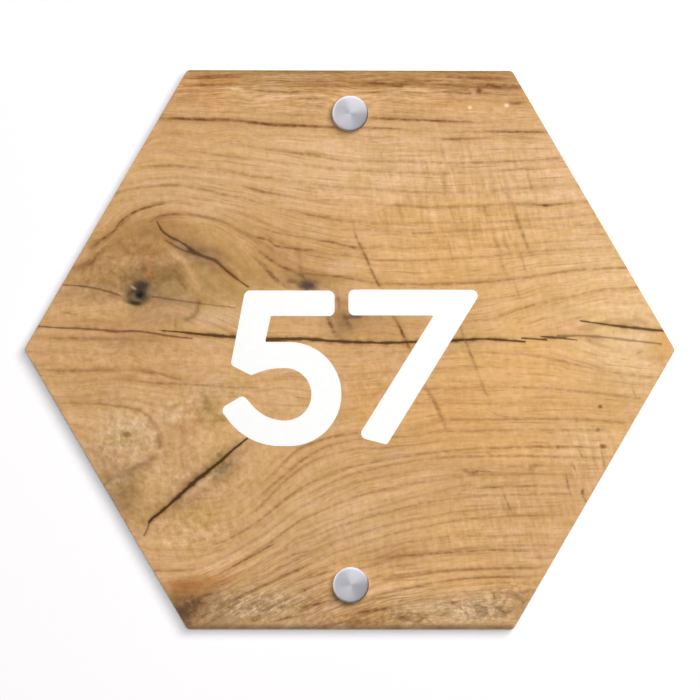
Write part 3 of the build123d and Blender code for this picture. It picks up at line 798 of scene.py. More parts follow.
def greatest(places, patches):
    """How strongly the strongest of some ovals shows at each place."""
    return np.max([patch(places, *oval) for oval in patches], axis=0)


def tapered(dark, half, points):
    """The points of a streak with its darkness fading at both ends, and its half-width."""
    last = len(points) - 1
    return [(x, y, dark * (faded_end if i in (0, last) else 1.0), half)
            for i, (x, y) in enumerate(points)]


# Every traced line of the print, with its darkness and its half-width in pixels.
traced_lines = {
    "check": [smooth_path([(x, y, dark, half) for x, y, half in points], path_step)
              for dark, points in checks_px.values()],
    "ring": [smooth_path([(x, y, dark, ring_half_px) for x, y, dark in points], path_step)
             for points in rings_px.values() if any(dark for _, _, dark in points)],
    "streak": [smooth_path(tapered(*streak), path_step) for streak in streaks_px],
}


def face_points():
    """The lattice that carries the print, with the lines' own points and clear of their sides."""
    lines = np.vstack([path[:, :2] for paths in traced_lines.values() for path in paths])
    rows = int(2 * plate_half_height / (lattice_step * lattice_row))
    lattice = []
    for row in range(1, rows):
        z = -plate_half_height + 2 * plate_half_height * row / rows
        half = plate_half_width - abs(z) * (plate_half_width - plate_half_edge) / plate_half_height
        start = -half + lattice_step * (0.5 + 0.5 * (row % 2))
        lattice.extend((x, z) for x in np.arange(start, half - 0.5 * lattice_step, lattice_step))
    lattice = np.array(lattice)
    for paths in traced_lines.values():
        near, _ = nearest_line(lattice, paths, line_clearance)
        lattice = lattice[near >= line_clearance]
    points = np.vstack([lattice, lines])
    loop = hexagon_loop(edge_break)
    inward = loop - np.roll(loop, -1, 0)
    inward = np.stack([inward[:, 1], -inward[:, 0]], 1)
    inward /= np.linalg.norm(inward, axis=1)[:, None]
    keep = np.ones(len(points), bool)
    for corner, direction in zip(loop[::edge_stride], inward[::edge_stride]):
        keep &= (points - corner) @ direction > edge_clearance
    for height in fixing_heights.values():
        from_axis = np.hypot(points[:, 0], points[:, 1] - height)
        keep &= from_axis > screw_hole_radius + edge_clearance
    points = points[keep]
    _, first = np.unique(np.round(points / same_place), axis=0, return_index=True)
    return points[np.sort(first)]


def flat_face(inner, loops):
    """Triangles between an outline, the screw holes and the points inside."""
    places = [Vector(point) for point in inner]
    edges = []
    for loop in loops:
        first = len(places)
        places.extend(Vector(point) for point in loop)
        edges.extend((first + i, first + (i + 1) % len(loop)) for i in range(len(loop)))
    found, _, faces, *_ = delaunay_2d_cdt(places, edges, [], 1, 1e-8)
    found = np.array([tuple(place) for place in found])
    kept = []
    for face in faces:
        middle = found[face].mean(0)
        if all(np.hypot(middle[0], middle[1] - height) > screw_hole_radius * 0.99
               for height in fixing_heights.values()):
            kept.append(face)
    return found, kept


def mesh_of(name, shape):
    """The mesh of a finished shape."""
    mesh = bpy.data.meshes.new(name)
    shape.to_mesh(mesh)
    shape.free()
    return mesh


def new_object(name, data):
    """An object of the scene, made of a mesh, a camera or a lamp."""
    made = bpy.data.objects.new(name, data)
    bpy.context.collection.objects.link(made)
    return made


def plate_mesh():
    """The printed face with its lattice, the walls and the holes, and the plain back."""
    shape = bmesh.new()
    outline = [(hexagon_loop(edge_break), front_y), (hexagon_loop(0), front_y + edge_break),
               (hexagon_loop(0), back_y - edge_break), (hexagon_loop(edge_break), back_y)]
    holes = [hole_loop(height) for height in fixing_heights.values()]
    for inner, y in ((face_points(), front_y), (np.empty((0, 2)), back_y)):
        found, faces = flat_face(inner, [hexagon_loop(edge_break)] + holes)
        corners = [shape.verts.new((x, y, z)) for x, z in found]
        for face in faces:
            shape.faces.new([corners[i] for i in face]).material_index = int(y == back_y)
    walls = [outline] + [[(hole, front_y), (hole, back_y)] for hole in holes]
    for wall in walls:
        rings = [[shape.verts.new((x, y, z)) for x, z in loop] for loop, y in wall]
        for step, (near, far) in enumerate(zip(rings, rings[1:])):
            printed = wall is outline and step == 0
            for i in range(len(near)):
                j = (i + 1) % len(near)
                face = shape.faces.new((near[i], near[j], far[j], far[i]))
                face.material_index = 0 if printed else 1
    bmesh.ops.remove_doubles(shape, verts=shape.verts, dist=1e-7)
    bmesh.ops.recalc_face_normals(shape, faces=shape.faces)
    return mesh_of("printed_plate", shape)


def write_print(mesh):
    """Give each point of the mesh the print's flow, lines, tone and wear, as attributes. The tone
    also holds painted shade along the bottom edge.
    """
    places = np.empty(len(mesh.vertices) * 3)
    mesh.vertices.foreach_get("co", places)
    places = places.reshape(-1, 3)[:, [0, 2]]
    tone = np.tile(srgb(*wood_tones["oak"]), (len(places), 1))
    for name, *oval in tone_patches_px:
        share = patch(places, *oval)[:, None]
        tone = tone * (1 - share) + np.array(srgb(*wood_tones[name])) * share
    for name, half, strength, points in tone_strokes_px:
        reach = 3 * half / photo_px_per_m
        gap, _ = nearest_line(places, [smooth_path(points, path_step)], reach)
        share = (strength * np.exp(-(3 * gap / reach) ** 2) * (gap < reach))[:, None]
        tone = tone * (1 - share) + np.array(srgb(*wood_tones[name])) * share
    fields = {"grain": grain_level(places)}
    for name, paths in traced_lines.items():
        gap, (dark, half) = nearest_line(places, paths, line_reach)
        fields[name] = np.stack([gap / MM, half / photo_px_per_m / MM, dark], 1)
    fields["bold"] = greatest(places, bold_px)
    fields["wear"] = np.stack([greatest(places, ovals)
                               for ovals in (saw_marks_px, weathered_px, mottled_px)], 1)
    fields["tone"] = tone
    kinds = {"grain": ("FLOAT", "value"), "bold": ("FLOAT", "value"),
             "tone": ("FLOAT_COLOR", "color")}
    for name, values in fields.items():
        kind, part = kinds.get(name, ("FLOAT_VECTOR", "vector"))
        mesh.attributes.new(name, kind, "POINT").data.foreach_set(part, values.ravel())


def fill(tree, node, inputs):
    """Fill a node's sockets by name or number, each with a value or from another socket."""
    for name, value in inputs.items():
        if isinstance(value, bpy.types.NodeSocket):
            tree.links.new(value, node.inputs[name])
        else:
            node.inputs[name].default_value = value


def add_node(tree, kind, inputs=None, **settings):
    """Add a node, make its settings, then fill its sockets."""
    node = tree.nodes.new(kind)
    for name, value in settings.items():
        setattr(node, name, value)
    fill(tree, node, inputs or {})
    return node


def sum_of(tree, operation, *values, clamp=False):
    """What a math node makes of some values."""
    inputs = dict(enumerate(values))
    return add_node(tree, "ShaderNodeMath", inputs, operation=operation, use_clamp=clamp).outputs[0]


def times(tree, first, second, clamp=False):
    return sum_of(tree, "MULTIPLY", first, second, clamp=clamp)


def plus(tree, first, second):
    return sum_of(tree, "ADD", first, second)


def minus(tree, first, second):
    return sum_of(tree, "SUBTRACT", first, second)


def ramp(tree, value, low, high, from_low=0.0, from_high=1.0):
    """A value taken smoothly from one range to another."""
    inputs = {"Value": value, "From Min": low, "From Max": high,
              "To Min": from_low, "To Max": from_high}
    return add_node(tree, "ShaderNodeMapRange", inputs,
                    interpolation_type="SMOOTHSTEP").outputs[0]


def noise(tree, place, scale, detail=3.0, roughness=0.55, distortion=0.0):
    inputs = {"Vector": place, "Scale": scale, "Detail": detail, "Roughness": roughness,
              "Distortion": distortion}
    return add_node(tree, "ShaderNodeTexNoise", inputs).outputs["Fac"]


def blend(tree, share, first, second, how="MIX"):
    inputs = {0: share, 6: first, 7: second}
    return add_node(tree, "ShaderNodeMix", inputs, data_type="RGBA", blend_type=how).outputs[2]


def vector_of(tree, x, y, z=0.0):
    return add_node(tree, "ShaderNodeCombineXYZ", {0: x, 1: y, 2: z}).outputs[0]


def parts_of(tree, vector):
    return add_node(tree, "ShaderNodeSeparateXYZ", {0: vector}).outputs


def new_material(name):
    """An empty material, and the tree and shader to build on."""
    material = bpy.data.materials.new(name)
    material.use_nodes = True
    tree = material.node_tree
    tree.nodes.clear()
    output = add_node(tree, "ShaderNodeOutputMaterial")
    shader = add_node(tree, "ShaderNodeBsdfPrincipled")
    tree.links.new(shader.outputs[0], output.inputs[0])
    return material, tree, shader


def place_in_mm(tree):
    """Where a point of the object lies, in millimetres."""
    place = add_node(tree, "ShaderNodeTexCoord").outputs["Object"]
    inputs = {0: place, 3: 1 / MM}
    return add_node(tree, "ShaderNodeVectorMath", inputs, operation="SCALE").outputs[0]


def attribute(tree, name):
    return add_node(tree, "ShaderNodeAttribute", attribute_name=name).outputs


def ragged_spot(tree, x, z, spot, wobble):
    """How far each place is from a spot, in its own half-widths, with a ragged edge."""
    x_px, y_px, across_px, up_px, tilt = spot
    middle = np.array(from_photo(x_px, y_px)) / MM
    turn = radians(tilt)
    size = np.array([across_px, up_px]) / photo_px_per_m / MM
    away = (minus(tree, x, middle[0]), minus(tree, z, middle[1]))
    squares = []
    for along, up, reach in ((cos(turn), sin(turn), size[0]), (-sin(turn), cos(turn), size[1])):
        part = plus(tree, times(tree, away[0], along / reach), times(tree, away[1], up / reach))
        squares.append(times(tree, part, part))
    distance = sum_of(tree, "SQRT", plus(tree, *squares))
    torn = noise(tree, vector_of(tree, x, z, x_px), 0.9, 3.0)
    return sum_of(tree, "MULTIPLY_ADD", minus(tree, torn, 0.5), wobble, distance)


# Small stains of the print: what each is, its place, half-widths and tilt as above, its tone
# and strength, and how ragged it is.
stains = [
    ("shade round the knot", (139, 290, 17, 14, 0), (122, 96, 66), 0.5, 0.9),
    ("dark above the knot", (141.5, 286, 8.6, 5.6, 0), (60, 48, 40), 0.93, 0.7),
    ("knot's rim", (137.5, 296.5, 11.6, 9.6, 0), (46, 36, 22), 0.97, 0.6),
    ("knot's grey ring", (137, 297.5, 7.0, 5.2, 0), (130, 110, 84), 0.9, 0.6),
    ("knot's hole", (139.5, 295.5, 5.4, 4.6, 0), (20, 14, 8), 1.0, 0.5),
    ("knot's lower lip", (134, 303.5, 8, 2.4, -10), (38, 28, 16), 0.85, 0.7),
    ("pale bark on its rim", (133, 288, 3.6, 1.4, -35), (186, 166, 138), 0.7, 0.5),
    ("grey beside the knot", (151, 292, 4.5, 5, 0), (150, 130, 100), 0.5, 0.8),
    ("eye of the burl", (126.5, 435, 6, 3, 0), (126, 92, 60), 0.7, 1.4),
    ("smudge above the slanting check", (219, 456, 3.5, 3, 0), (110, 88, 62), 0.6, 1.6),
    ("smudge below it", (223, 468, 10, 4.5, 35), (112, 90, 62), 0.65, 2.4),
    ("weathered mark by the five", (307.5, 285.5, 9, 5.5, 0), (76, 62, 58), 0.9, 1.2),
    ("small eye by the five", (291.5, 281.5, 6, 2.6, 0), (122, 92, 54), 0.7, 1.0),
    ("weathered mark in the gap", (352, 317, 10, 2.4, 0), (104, 80, 60), 0.7, 1.2),
    ("brown speck", (600.5, 406.5, 2.4, 2.0, 0), (128, 84, 42), 0.85, 0.8),
    ("brown speck below it", (603, 446.5, 3.6, 2.6, 0), (126, 86, 44), 0.85, 1.2),
    ("brown speck between them", (598, 430, 2.6, 2.4, 0), (138, 98, 56), 0.7, 1.0),
    ("brown speck left of them", (558, 447, 2.0, 2.4, 0), (150, 108, 64), 0.7, 1.0),
    ("brown speck by the edge", (582.5, 491.5, 2.2, 3.2, 0), (136, 94, 52), 0.8, 1.0),
    ("brown speck at the top", (480, 89, 3.6, 3.0, 0), (104, 64, 30), 0.85, 1.4),
    ("pale speck beside it", (474, 92, 2.4, 2.4, 0), (214, 172, 128), 0.6, 0.8),
    ("pale round the flecks", (489, 105, 24, 4, 0), (226, 178, 132), 0.4, 1.0),
    ("white fleck", (470.5, 106.5, 2.2, 1.9, 0), (252, 214, 170), 0.85, 0.9),
    ("white fleck right of it", (507.5, 104.5, 2.5, 2.2, 0), (254, 222, 184), 0.9, 0.9),
    ("olive mark", (529, 203.5, 9, 3.4, 0), (176, 142, 84), 0.6, 1.0),
    ("dark foot of the left corner", (184, 611, 8, 19, -60), (78, 56, 40), 0.75, 2.6),
]


# The inks that the material lays over those tones.
wood_inks = {
    "dark drift": (198, 156, 92),
    "pale drift": (224, 177, 126),
    "dash": (176, 128, 76),
    "pore": (166, 116, 66),
    "flake": (214, 178, 136),
    "groove": (122, 92, 60),
    "ring": (154, 102, 50),
    "streak": (118, 74, 34),
    "check's edge": (134, 88, 40),
    "check": (52, 28, 6),
}
yellower, pinker = (0.988, 1.0, 0.925, 1.0), (1.013, 1.0, 1.07, 1.0)
shade_powers = (0.80, 1.05, 1.65)
saw_across, saw_along = 0.97, 0.22


def wood_print():
    """Ink that copies weathered wood: rings, streaks and saw marks, checks, a knot and stains."""
    material, tree, shader = new_material("wood print")
    x, _, z = parts_of(tree, place_in_mm(tree))
    level = attribute(tree, "grain")["Fac"]
    bold = attribute(tree, "bold")["Fac"]
    saw, worn, mottled = parts_of(tree, attribute(tree, "wear")["Vector"])
    calm = minus(tree, 1.0, times(tree, mottled, 0.7))

    def streaks(along, across, along_scale, across_scale, detail, seed):
        """Noise drawn out along the grain, or along anything else."""
        place = vector_of(tree, times(tree, along, along_scale),
                          times(tree, across, across_scale), seed)
        return noise(tree, place, 1.0, detail)

    def inked(colour, share, name):
        return blend(tree, share, colour, srgb(*wood_inks[name]))

    colour = attribute(tree, "tone")["Color"]
    drift = streaks(x, z, 0.07, 0.13, 3.0, 2.0)
    colour = inked(colour, ramp(tree, drift, 0.50, 0.36, 0.0, 0.30), "dark drift")
    colour = inked(colour, ramp(tree, drift, 0.50, 0.66, 0.0, 0.30), "pale drift")
    hue = ramp(tree, streaks(x, level, 0.13, 0.38, 2.0, 71.0), 0.32, 0.68)
    colour = blend(tree, 1.0, colour, blend(tree, hue, yellower, pinker), "MULTIPLY")

    # light and dark: what the streaks follow, their scales, detail and seed, how much they
    # show everywhere, and how much more where another thing is strong
    across_saw = plus(tree, times(tree, x, saw_across), times(tree, z, saw_along))
    along_saw = minus(tree, times(tree, x, saw_along), times(tree, z, saw_across))
    shade = 1.0
    for *pattern, least, where, most in (
        (x, level, 0.030, 0.42, 3.0, 11.0, 0.10, calm, 0.42),
        (x, level, 0.10, 1.5, 2.0, 3.0, 0.06, calm, 0.36),
        (x, level, 0.035, 0.80, 2.0, 9.0, 0.0, bold, 1.2),
        (x, level, 0.08, 1.5, 1.0, 19.0, 0.0, bold, 1.0),
        (x, z, 0.40, 0.40, 3.0, 7.0, 0.30, mottled, 1.35),
        (x, z, 0.95, 0.95, 1.0, 13.0, 0.0, mottled, 0.42),
        (x, z, 0.6, 0.8, 2.0, 5.0, 0.26, worn, 1.4),
        (x, z, 1.3, 0.40, 2.0, 31.0, 0.17, saw, 0.30),
        (x, level, 0.30, 2.3, 1.0, 35.0, 0.16, bold, 1.3),
        (along_saw, across_saw, 0.13, 0.60, 1.5, 17.0, 0.16, saw, 0.78),
    ):
        gain = sum_of(tree, "MULTIPLY_ADD", where, most - least, least)
        shade = sum_of(tree, "MULTIPLY_ADD", minus(tree, streaks(*pattern), 0.5), gain, shade)
    # where wood is darker it is redder, and where paler creamier
    deepened = vector_of(tree, *[sum_of(tree, "POWER", shade, power) for power in shade_powers])
    colour = blend(tree, 1.0, colour, deepened, "MULTIPLY")

    dash = ramp(tree, streaks(x, level, 0.045, 1.0, 2.0, 27.0), 0.57, 0.70, 0.0, 0.45)
    colour = inked(colour, times(tree, dash, calm), "dash")
    pore = ramp(tree, streaks(x, level, 0.22, 1.9, 2.0, 37.0), 0.60, 0.72, 0.0, 0.42)
    colour = inked(colour, times(tree, pore, calm), "pore")

    # weathered wood: crooked dark lines and pale flakes between them
    crooked = streaks(x, level, 0.20, 0.30, 4.0, 61.0)
    ridge = sum_of(tree, "ABSOLUTE", minus(tree, crooked, 0.5))
    flake = ramp(tree, ridge, 0.11, 0.22, 0.0, 0.42)
    colour = inked(colour, times(tree, flake, worn), "flake")
    groove = ramp(tree, ridge, 0.0, 0.09, 0.60, 0.0)
    colour = inked(colour, times(tree, groove, worn), "groove")

    # traced lines: worn, wandering and fading as ink on wood does
    for name, seed, core, edge in (("ring", 41.0, 0.52, 0.17), ("streak", 43.0, 0.54, 0.11)):
        gap, half, dark = parts_of(tree, attribute(tree, name)["Vector"])
        wander = ramp(tree, streaks(x, z, 0.42, 0.7, 3.0, seed), 0.34, 0.66, 0.46, 1.22)
        strayed = sum_of(tree, "MULTIPLY_ADD", streaks(x, z, 0.9, 0.9, 2.0, seed + 5), 0.4, gap)
        strayed = sum_of(tree, "DIVIDE", strayed, plus(tree, half, 0.02))
        line = plus(tree, ramp(tree, strayed, 0.40, 2.1, core, 0.0),
                    ramp(tree, gap, 0.2, 1.8, edge, 0.0))
        colour = inked(colour, times(tree, line, times(tree, dark, wander), clamp=True), name)

    for _, spot, tone, strength, wobble in stains:
        share = ramp(tree, ragged_spot(tree, x, z, spot, wobble), 0.3, 1.45, strength, 0.0)
        colour = blend(tree, share, colour, srgb(*tone))

    gap, half, dark = parts_of(tree, attribute(tree, "check")["Vector"])
    ragged = ramp(tree, streaks(x, z, 0.30, 0.45, 3.0, 55.0), 0.3, 0.7, 0.62, 1.40)
    apart = sum_of(tree, "DIVIDE", gap, times(tree, plus(tree, half, 0.02), ragged))
    edge = ramp(tree, apart, 0.7, 3.4, 0.50, 0.0)
    colour = inked(colour, times(tree, edge, dark), "check's edge")
    core = ramp(tree, apart, 0.5, 1.5, 0.95, 0.0)
    colour = inked(colour, times(tree, core, dark), "check")

    fill(tree, shader, {"Base Color": colour, "Roughness": 0.5, "Specular IOR Level": 0.15})
    return material


def white_sheet():
    """The plastic sheet itself, with the router's faint marks round its edge."""
    material, tree, shader = new_material("white sheet")
    place = place_in_mm(tree)
    mottle = noise(tree, place, 0.12, 4.0)
    grain = noise(tree, place, 3.0, 3.0)
    bump = add_node(tree, "ShaderNodeBump", {
        "Strength": 0.15, "Distance": 0.05 * MM, "Height": grain})
    fill(tree, shader, {
        "Base Color": blend(tree, ramp(tree, mottle, 0.3, 0.7), srgb(238, 237, 232),
                            srgb(246, 245, 241)),
        "Roughness": ramp(tree, grain, 0.3, 0.7, 0.38, 0.52), "Normal": bump.outputs[0]})
    return material


printed_plate_mesh = plate_mesh()
write_print(printed_plate_mesh)
printed_plate_mesh.materials.append(wood_print())
printed_plate_mesh.materials.append(white_sheet())
printed_plate = new_object("printed_plate", printed_plate_mesh)
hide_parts("plate")
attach(printed_plate, "root")

# Numerals.
# The five and the seven are white ink, printed over the wood look in the same pass. They are
# a film of ink on the plate's face.
ink_thickness = 0.08 * MM
numerals_px = {
    "numeral_five": [
        (244.9, 290.7, 6.5), (334.5, 290.7, 6.5), (334.5, 316.2, 6), (270.7, 316.2, 1.5),
        (264.9, 342.4, 1.5), (341.1, 342.4, 51.8), (341.1, 446.5, 51.8), (248.3, 446.5, 64),
        (219.5, 409.6, 6), (242.9, 395.7, 5), (265.6, 421, 42), (311.2, 421, 26.3),
        (311.2, 368.5, 26.2), (268.6, 368.5, 69), (250.7, 375.7, 3), (230.4, 365.4, 5),
    ],
    "numeral_seven": [
        (348.4, 289.6, 6), (482.6, 289.6, 6.05), (386.8, 444.9, 3.5), (357.5, 437.5, 6),
        (433.7, 315.5, 1), (348.4, 315.5, 6),
    ],
}


def rounded_outline(corners_px):
    """A closed outline through named corners, each rounded to its own radius."""
    corners = [(Vector(from_photo(x, y)), radius / photo_px_per_m) for x, y, radius in corners_px]
    outline = []
    for i, (corner, radius) in enumerate(corners):
        before = (corners[i - 1][0] - corner).normalized()
        after = (corners[(i + 1) % len(corners)][0] - corner).normalized()
        half_angle = before.angle(after) / 2
        centre = corner + (before + after).normalized() * (radius / sin(half_angle))
        start = corner + before * (radius / tan(half_angle)) - centre
        turn = (pi - 2 * half_angle) * (1 if before.cross(after) < 0 else -1)
        steps = max(3, int(abs(turn) / radians(4)))
        for step in range(steps + 1):
            outline.append(centre + Matrix.Rotation(turn * step / steps, 2) @ start)
    return outline


def film_mesh(name, outline, far_y, near_y):
    """A flat sheet between two depths, bounded by an outline."""
    shape = bmesh.new()
    far, near = [[shape.verts.new((place.x, y, place.y)) for place in outline]
                 for y in (far_y, near_y)]
    loops = [[shape.edges.new((ring[i - 1], ring[i])) for i in range(len(ring))]
             for ring in (far, near)]
    for loop in loops:
        bmesh.ops.triangle_fill(shape, use_beauty=True, edges=loop)
    for i in range(len(outline)):
        shape.faces.new((far[i - 1], far[i], near[i], near[i - 1]))
    bmesh.ops.recalc_face_normals(shape, faces=shape.faces)
    return mesh_of(name, shape)


def white_ink():
    """Opaque white ink with the faint unevenness of a printed solid."""
    material, tree, shader = new_material("white ink")
    place = place_in_mm(tree)
    cover = noise(tree, place, 0.6, 4.0)
    grain = noise(tree, place, 6.0, 2.0)
    fill(tree, shader, {
        "Base Color": blend(tree, ramp(tree, cover, 0.35, 0.65), srgb(254, 253, 252),
                            srgb(255, 255, 255)),
        "Roughness": ramp(tree, grain, 0.3, 0.7, 0.38, 0.5)})
    return material


ink = white_ink()
for name, corners in numerals_px.items():
    mesh = film_mesh(name, rounded_outline(corners), front_y, front_y - ink_thickness)
    mesh.materials.append(ink)
    numeral = new_object(name, mesh)
    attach(numeral, "root")

# Washers.
# A thin ring of white nylon lies under each base, so that the steel can't mark the print when
# the screw is driven home.
turned_sides, sharp_edge = 96, radians(35)
rounding_steps = (0, 0.17, 0.34, 0.5, 0.66, 0.83, 1)


def turned_mesh(name, profile, height):
    """A closed mesh turned about a fixing's axis. The profile is radius and depth, all round;
    a point on the axis closes it."""
    shape = bmesh.new()
    rings = []
    for radius, y in profile:
        count = turned_sides if radius > 0 else 1
        angles = [2 * pi * i / turned_sides for i in range(count)]
        rings.append([shape.verts.new((radius * cos(a), y, height + radius * sin(a)))
                      for a in angles])
    for near, far in zip(rings, rings[1:] + rings[:1]):
        if len(near) == 1 and len(far) == 1:
            continue
        for i in range(turned_sides):
            j = (i + 1) % turned_sides
            corners = [near[i % len(near)], near[j % len(near)],
                       far[j % len(far)], far[i % len(far)]]
            shape.faces.new(list(dict.fromkeys(corners)))
    for face in shape.faces:
        face.smooth = True
    bmesh.ops.recalc_face_normals(shape, faces=shape.faces)
    mesh = mesh_of(name, shape)
    mesh.set_sharp_from_angle(angle=sharp_edge)
    return mesh


def rounded_profile(corners):
    """A closed profile from corners, each a radius, a depth and the size of its rounding."""
    profile = []
    for i, (radius, y, rounding) in enumerate(corners):
        corner = Vector((radius, y))
        if rounding == 0:
            profile.append((radius, y))
            continue
        before = Vector(corners[i - 1][:2]) - corner
        after = Vector(corners[(i + 1) % len(corners)][:2]) - corner
        before, after = before.normalized() * rounding, after.normalized() * rounding
        for t in rounding_steps:
            place = corner + before * (1 - t) ** 2 + after * t ** 2
            profile.append(tuple(place))
    return profile


def uneven(tree, shader, pattern, dark, pale, smooth, rough):
    """Let a finish drift between two colours and two roughnesses with a pattern."""
    fill(tree, shader, {
        "Base Color": blend(tree, ramp(tree, pattern, 0.3, 0.7), srgb(*dark), srgb(*pale)),
        "Roughness": ramp(tree, pattern, 0.3, 0.7, smooth, rough)})


def white_nylon():
    """Slightly clear white nylon."""
    material, tree, shader = new_material("white nylon")
    mottle = noise(tree, place_in_mm(tree), 0.8, 3.0)
    uneven(tree, shader, mottle, (226, 224, 214), (238, 237, 230), 0.35, 0.5)
    fill(tree, shader, {"Subsurface Weight": 0.2, "Subsurface Radius": (MM, MM, MM)})
    return material


washer_inner, washer_outer = 2.0 * MM, 4.45 * MM
washer_front, washer_back = -5.4 * MM, -5.0 * MM
washer_edge = 0.08 * MM
nylon = white_nylon()
for side, height in fixing_heights.items():
    name = side + "_nylon_washer"
    profile = rounded_profile([
        (washer_inner, washer_back, washer_edge), (washer_outer, washer_back, washer_edge),
        (washer_outer, washer_front, washer_edge), (washer_inner, washer_front, washer_edge),
    ])
    mesh = turned_mesh(name, profile, height)
    mesh.materials.append(nylon)
    washer = new_object(name, mesh)
    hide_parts(side + "_washer")
    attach(washer, "root")

# Cap bases.
# A turned steel ring, countersunk for the screw's head, that the screw pinches against the
# plate. The cap winds onto its rim.
base_front, base_back = -7.4 * MM, -5.4 * MM
base_outer, base_inner, seat_radius = 4.7 * MM, 2.0 * MM, 3.8 * MM
thread_groove, thread_pitch = 0.12 * MM, 0.5 * MM
rim_bevel = 0.25 * MM


def plain_steel():
    """Turned steel straight off the lathe, with a faint uneven mottle."""
    material, tree, shader = new_material("plain steel")
    scratch = noise(tree, place_in_mm(tree), 2.5, 4.0)
    uneven(tree, shader, scratch, (170, 169, 167), (196, 195, 193), 0.28, 0.42)
    shader.inputs["Metallic"].default_value = 1.0
    return material


steel = plain_steel()
for side, height in fixing_heights.items():
    name = side + "_steel_base"
    rim = []
    for i in range(int((base_back - base_front - 2 * rim_bevel) / thread_pitch)):
        top = base_back - rim_bevel - thread_pitch * i
        rim.extend([(base_outer, top, 0),
                    (base_outer - thread_groove, top - thread_pitch * 0.35, 0),
                    (base_outer, top - thread_pitch * 0.7, 0)])
    profile = rounded_profile([
        (base_inner, base_back, 0), (base_outer, base_back, 0.1 * MM), *rim,
        (base_outer, base_front + rim_bevel, 0), (base_outer - rim_bevel, base_front, 0),
        (seat_radius, base_front, 0),
        (base_inner, base_front + seat_radius - base_inner, 0),
    ])
    mesh = turned_mesh(name, profile, height)
    mesh.materials.append(steel)
    base = new_object(name, mesh)
    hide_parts(side + "_cap_base")
    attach(base, "root")

# Screws.
# Countersunk wood screws with a cross recess, rolled from wire and zinc plated. Each goes
# through the plate into the door and pulls its base up tight.
screw_sizes = {
    "Head Top": -7.4 * MM,
    "Head Radius": 3.5 * MM,
    "Head Land": 0.3 * MM,
    "Neck Radius": 1.25 * MM,
    "Thread Start": 0.0 * MM,
    "Core Radius": 1.12 * MM,
    "Crest Radius": 1.74 * MM,
    "Pitch": 1.6 * MM,
    "Point Start": 18.6 * MM,
    "Point End": 22.6 * MM,
    "Recess Half Span": 1.95 * MM,
    "Recess Half Wing": 0.4 * MM,
    "Recess Depth": 1.6 * MM,
}
recess_taper = (0.55, 0.2)
crest_half, tooth_half, neck_run = 0.02, 0.21, 0.3
screw_sides, screw_rows_per_turn, screw_turns = 40, 10, 16


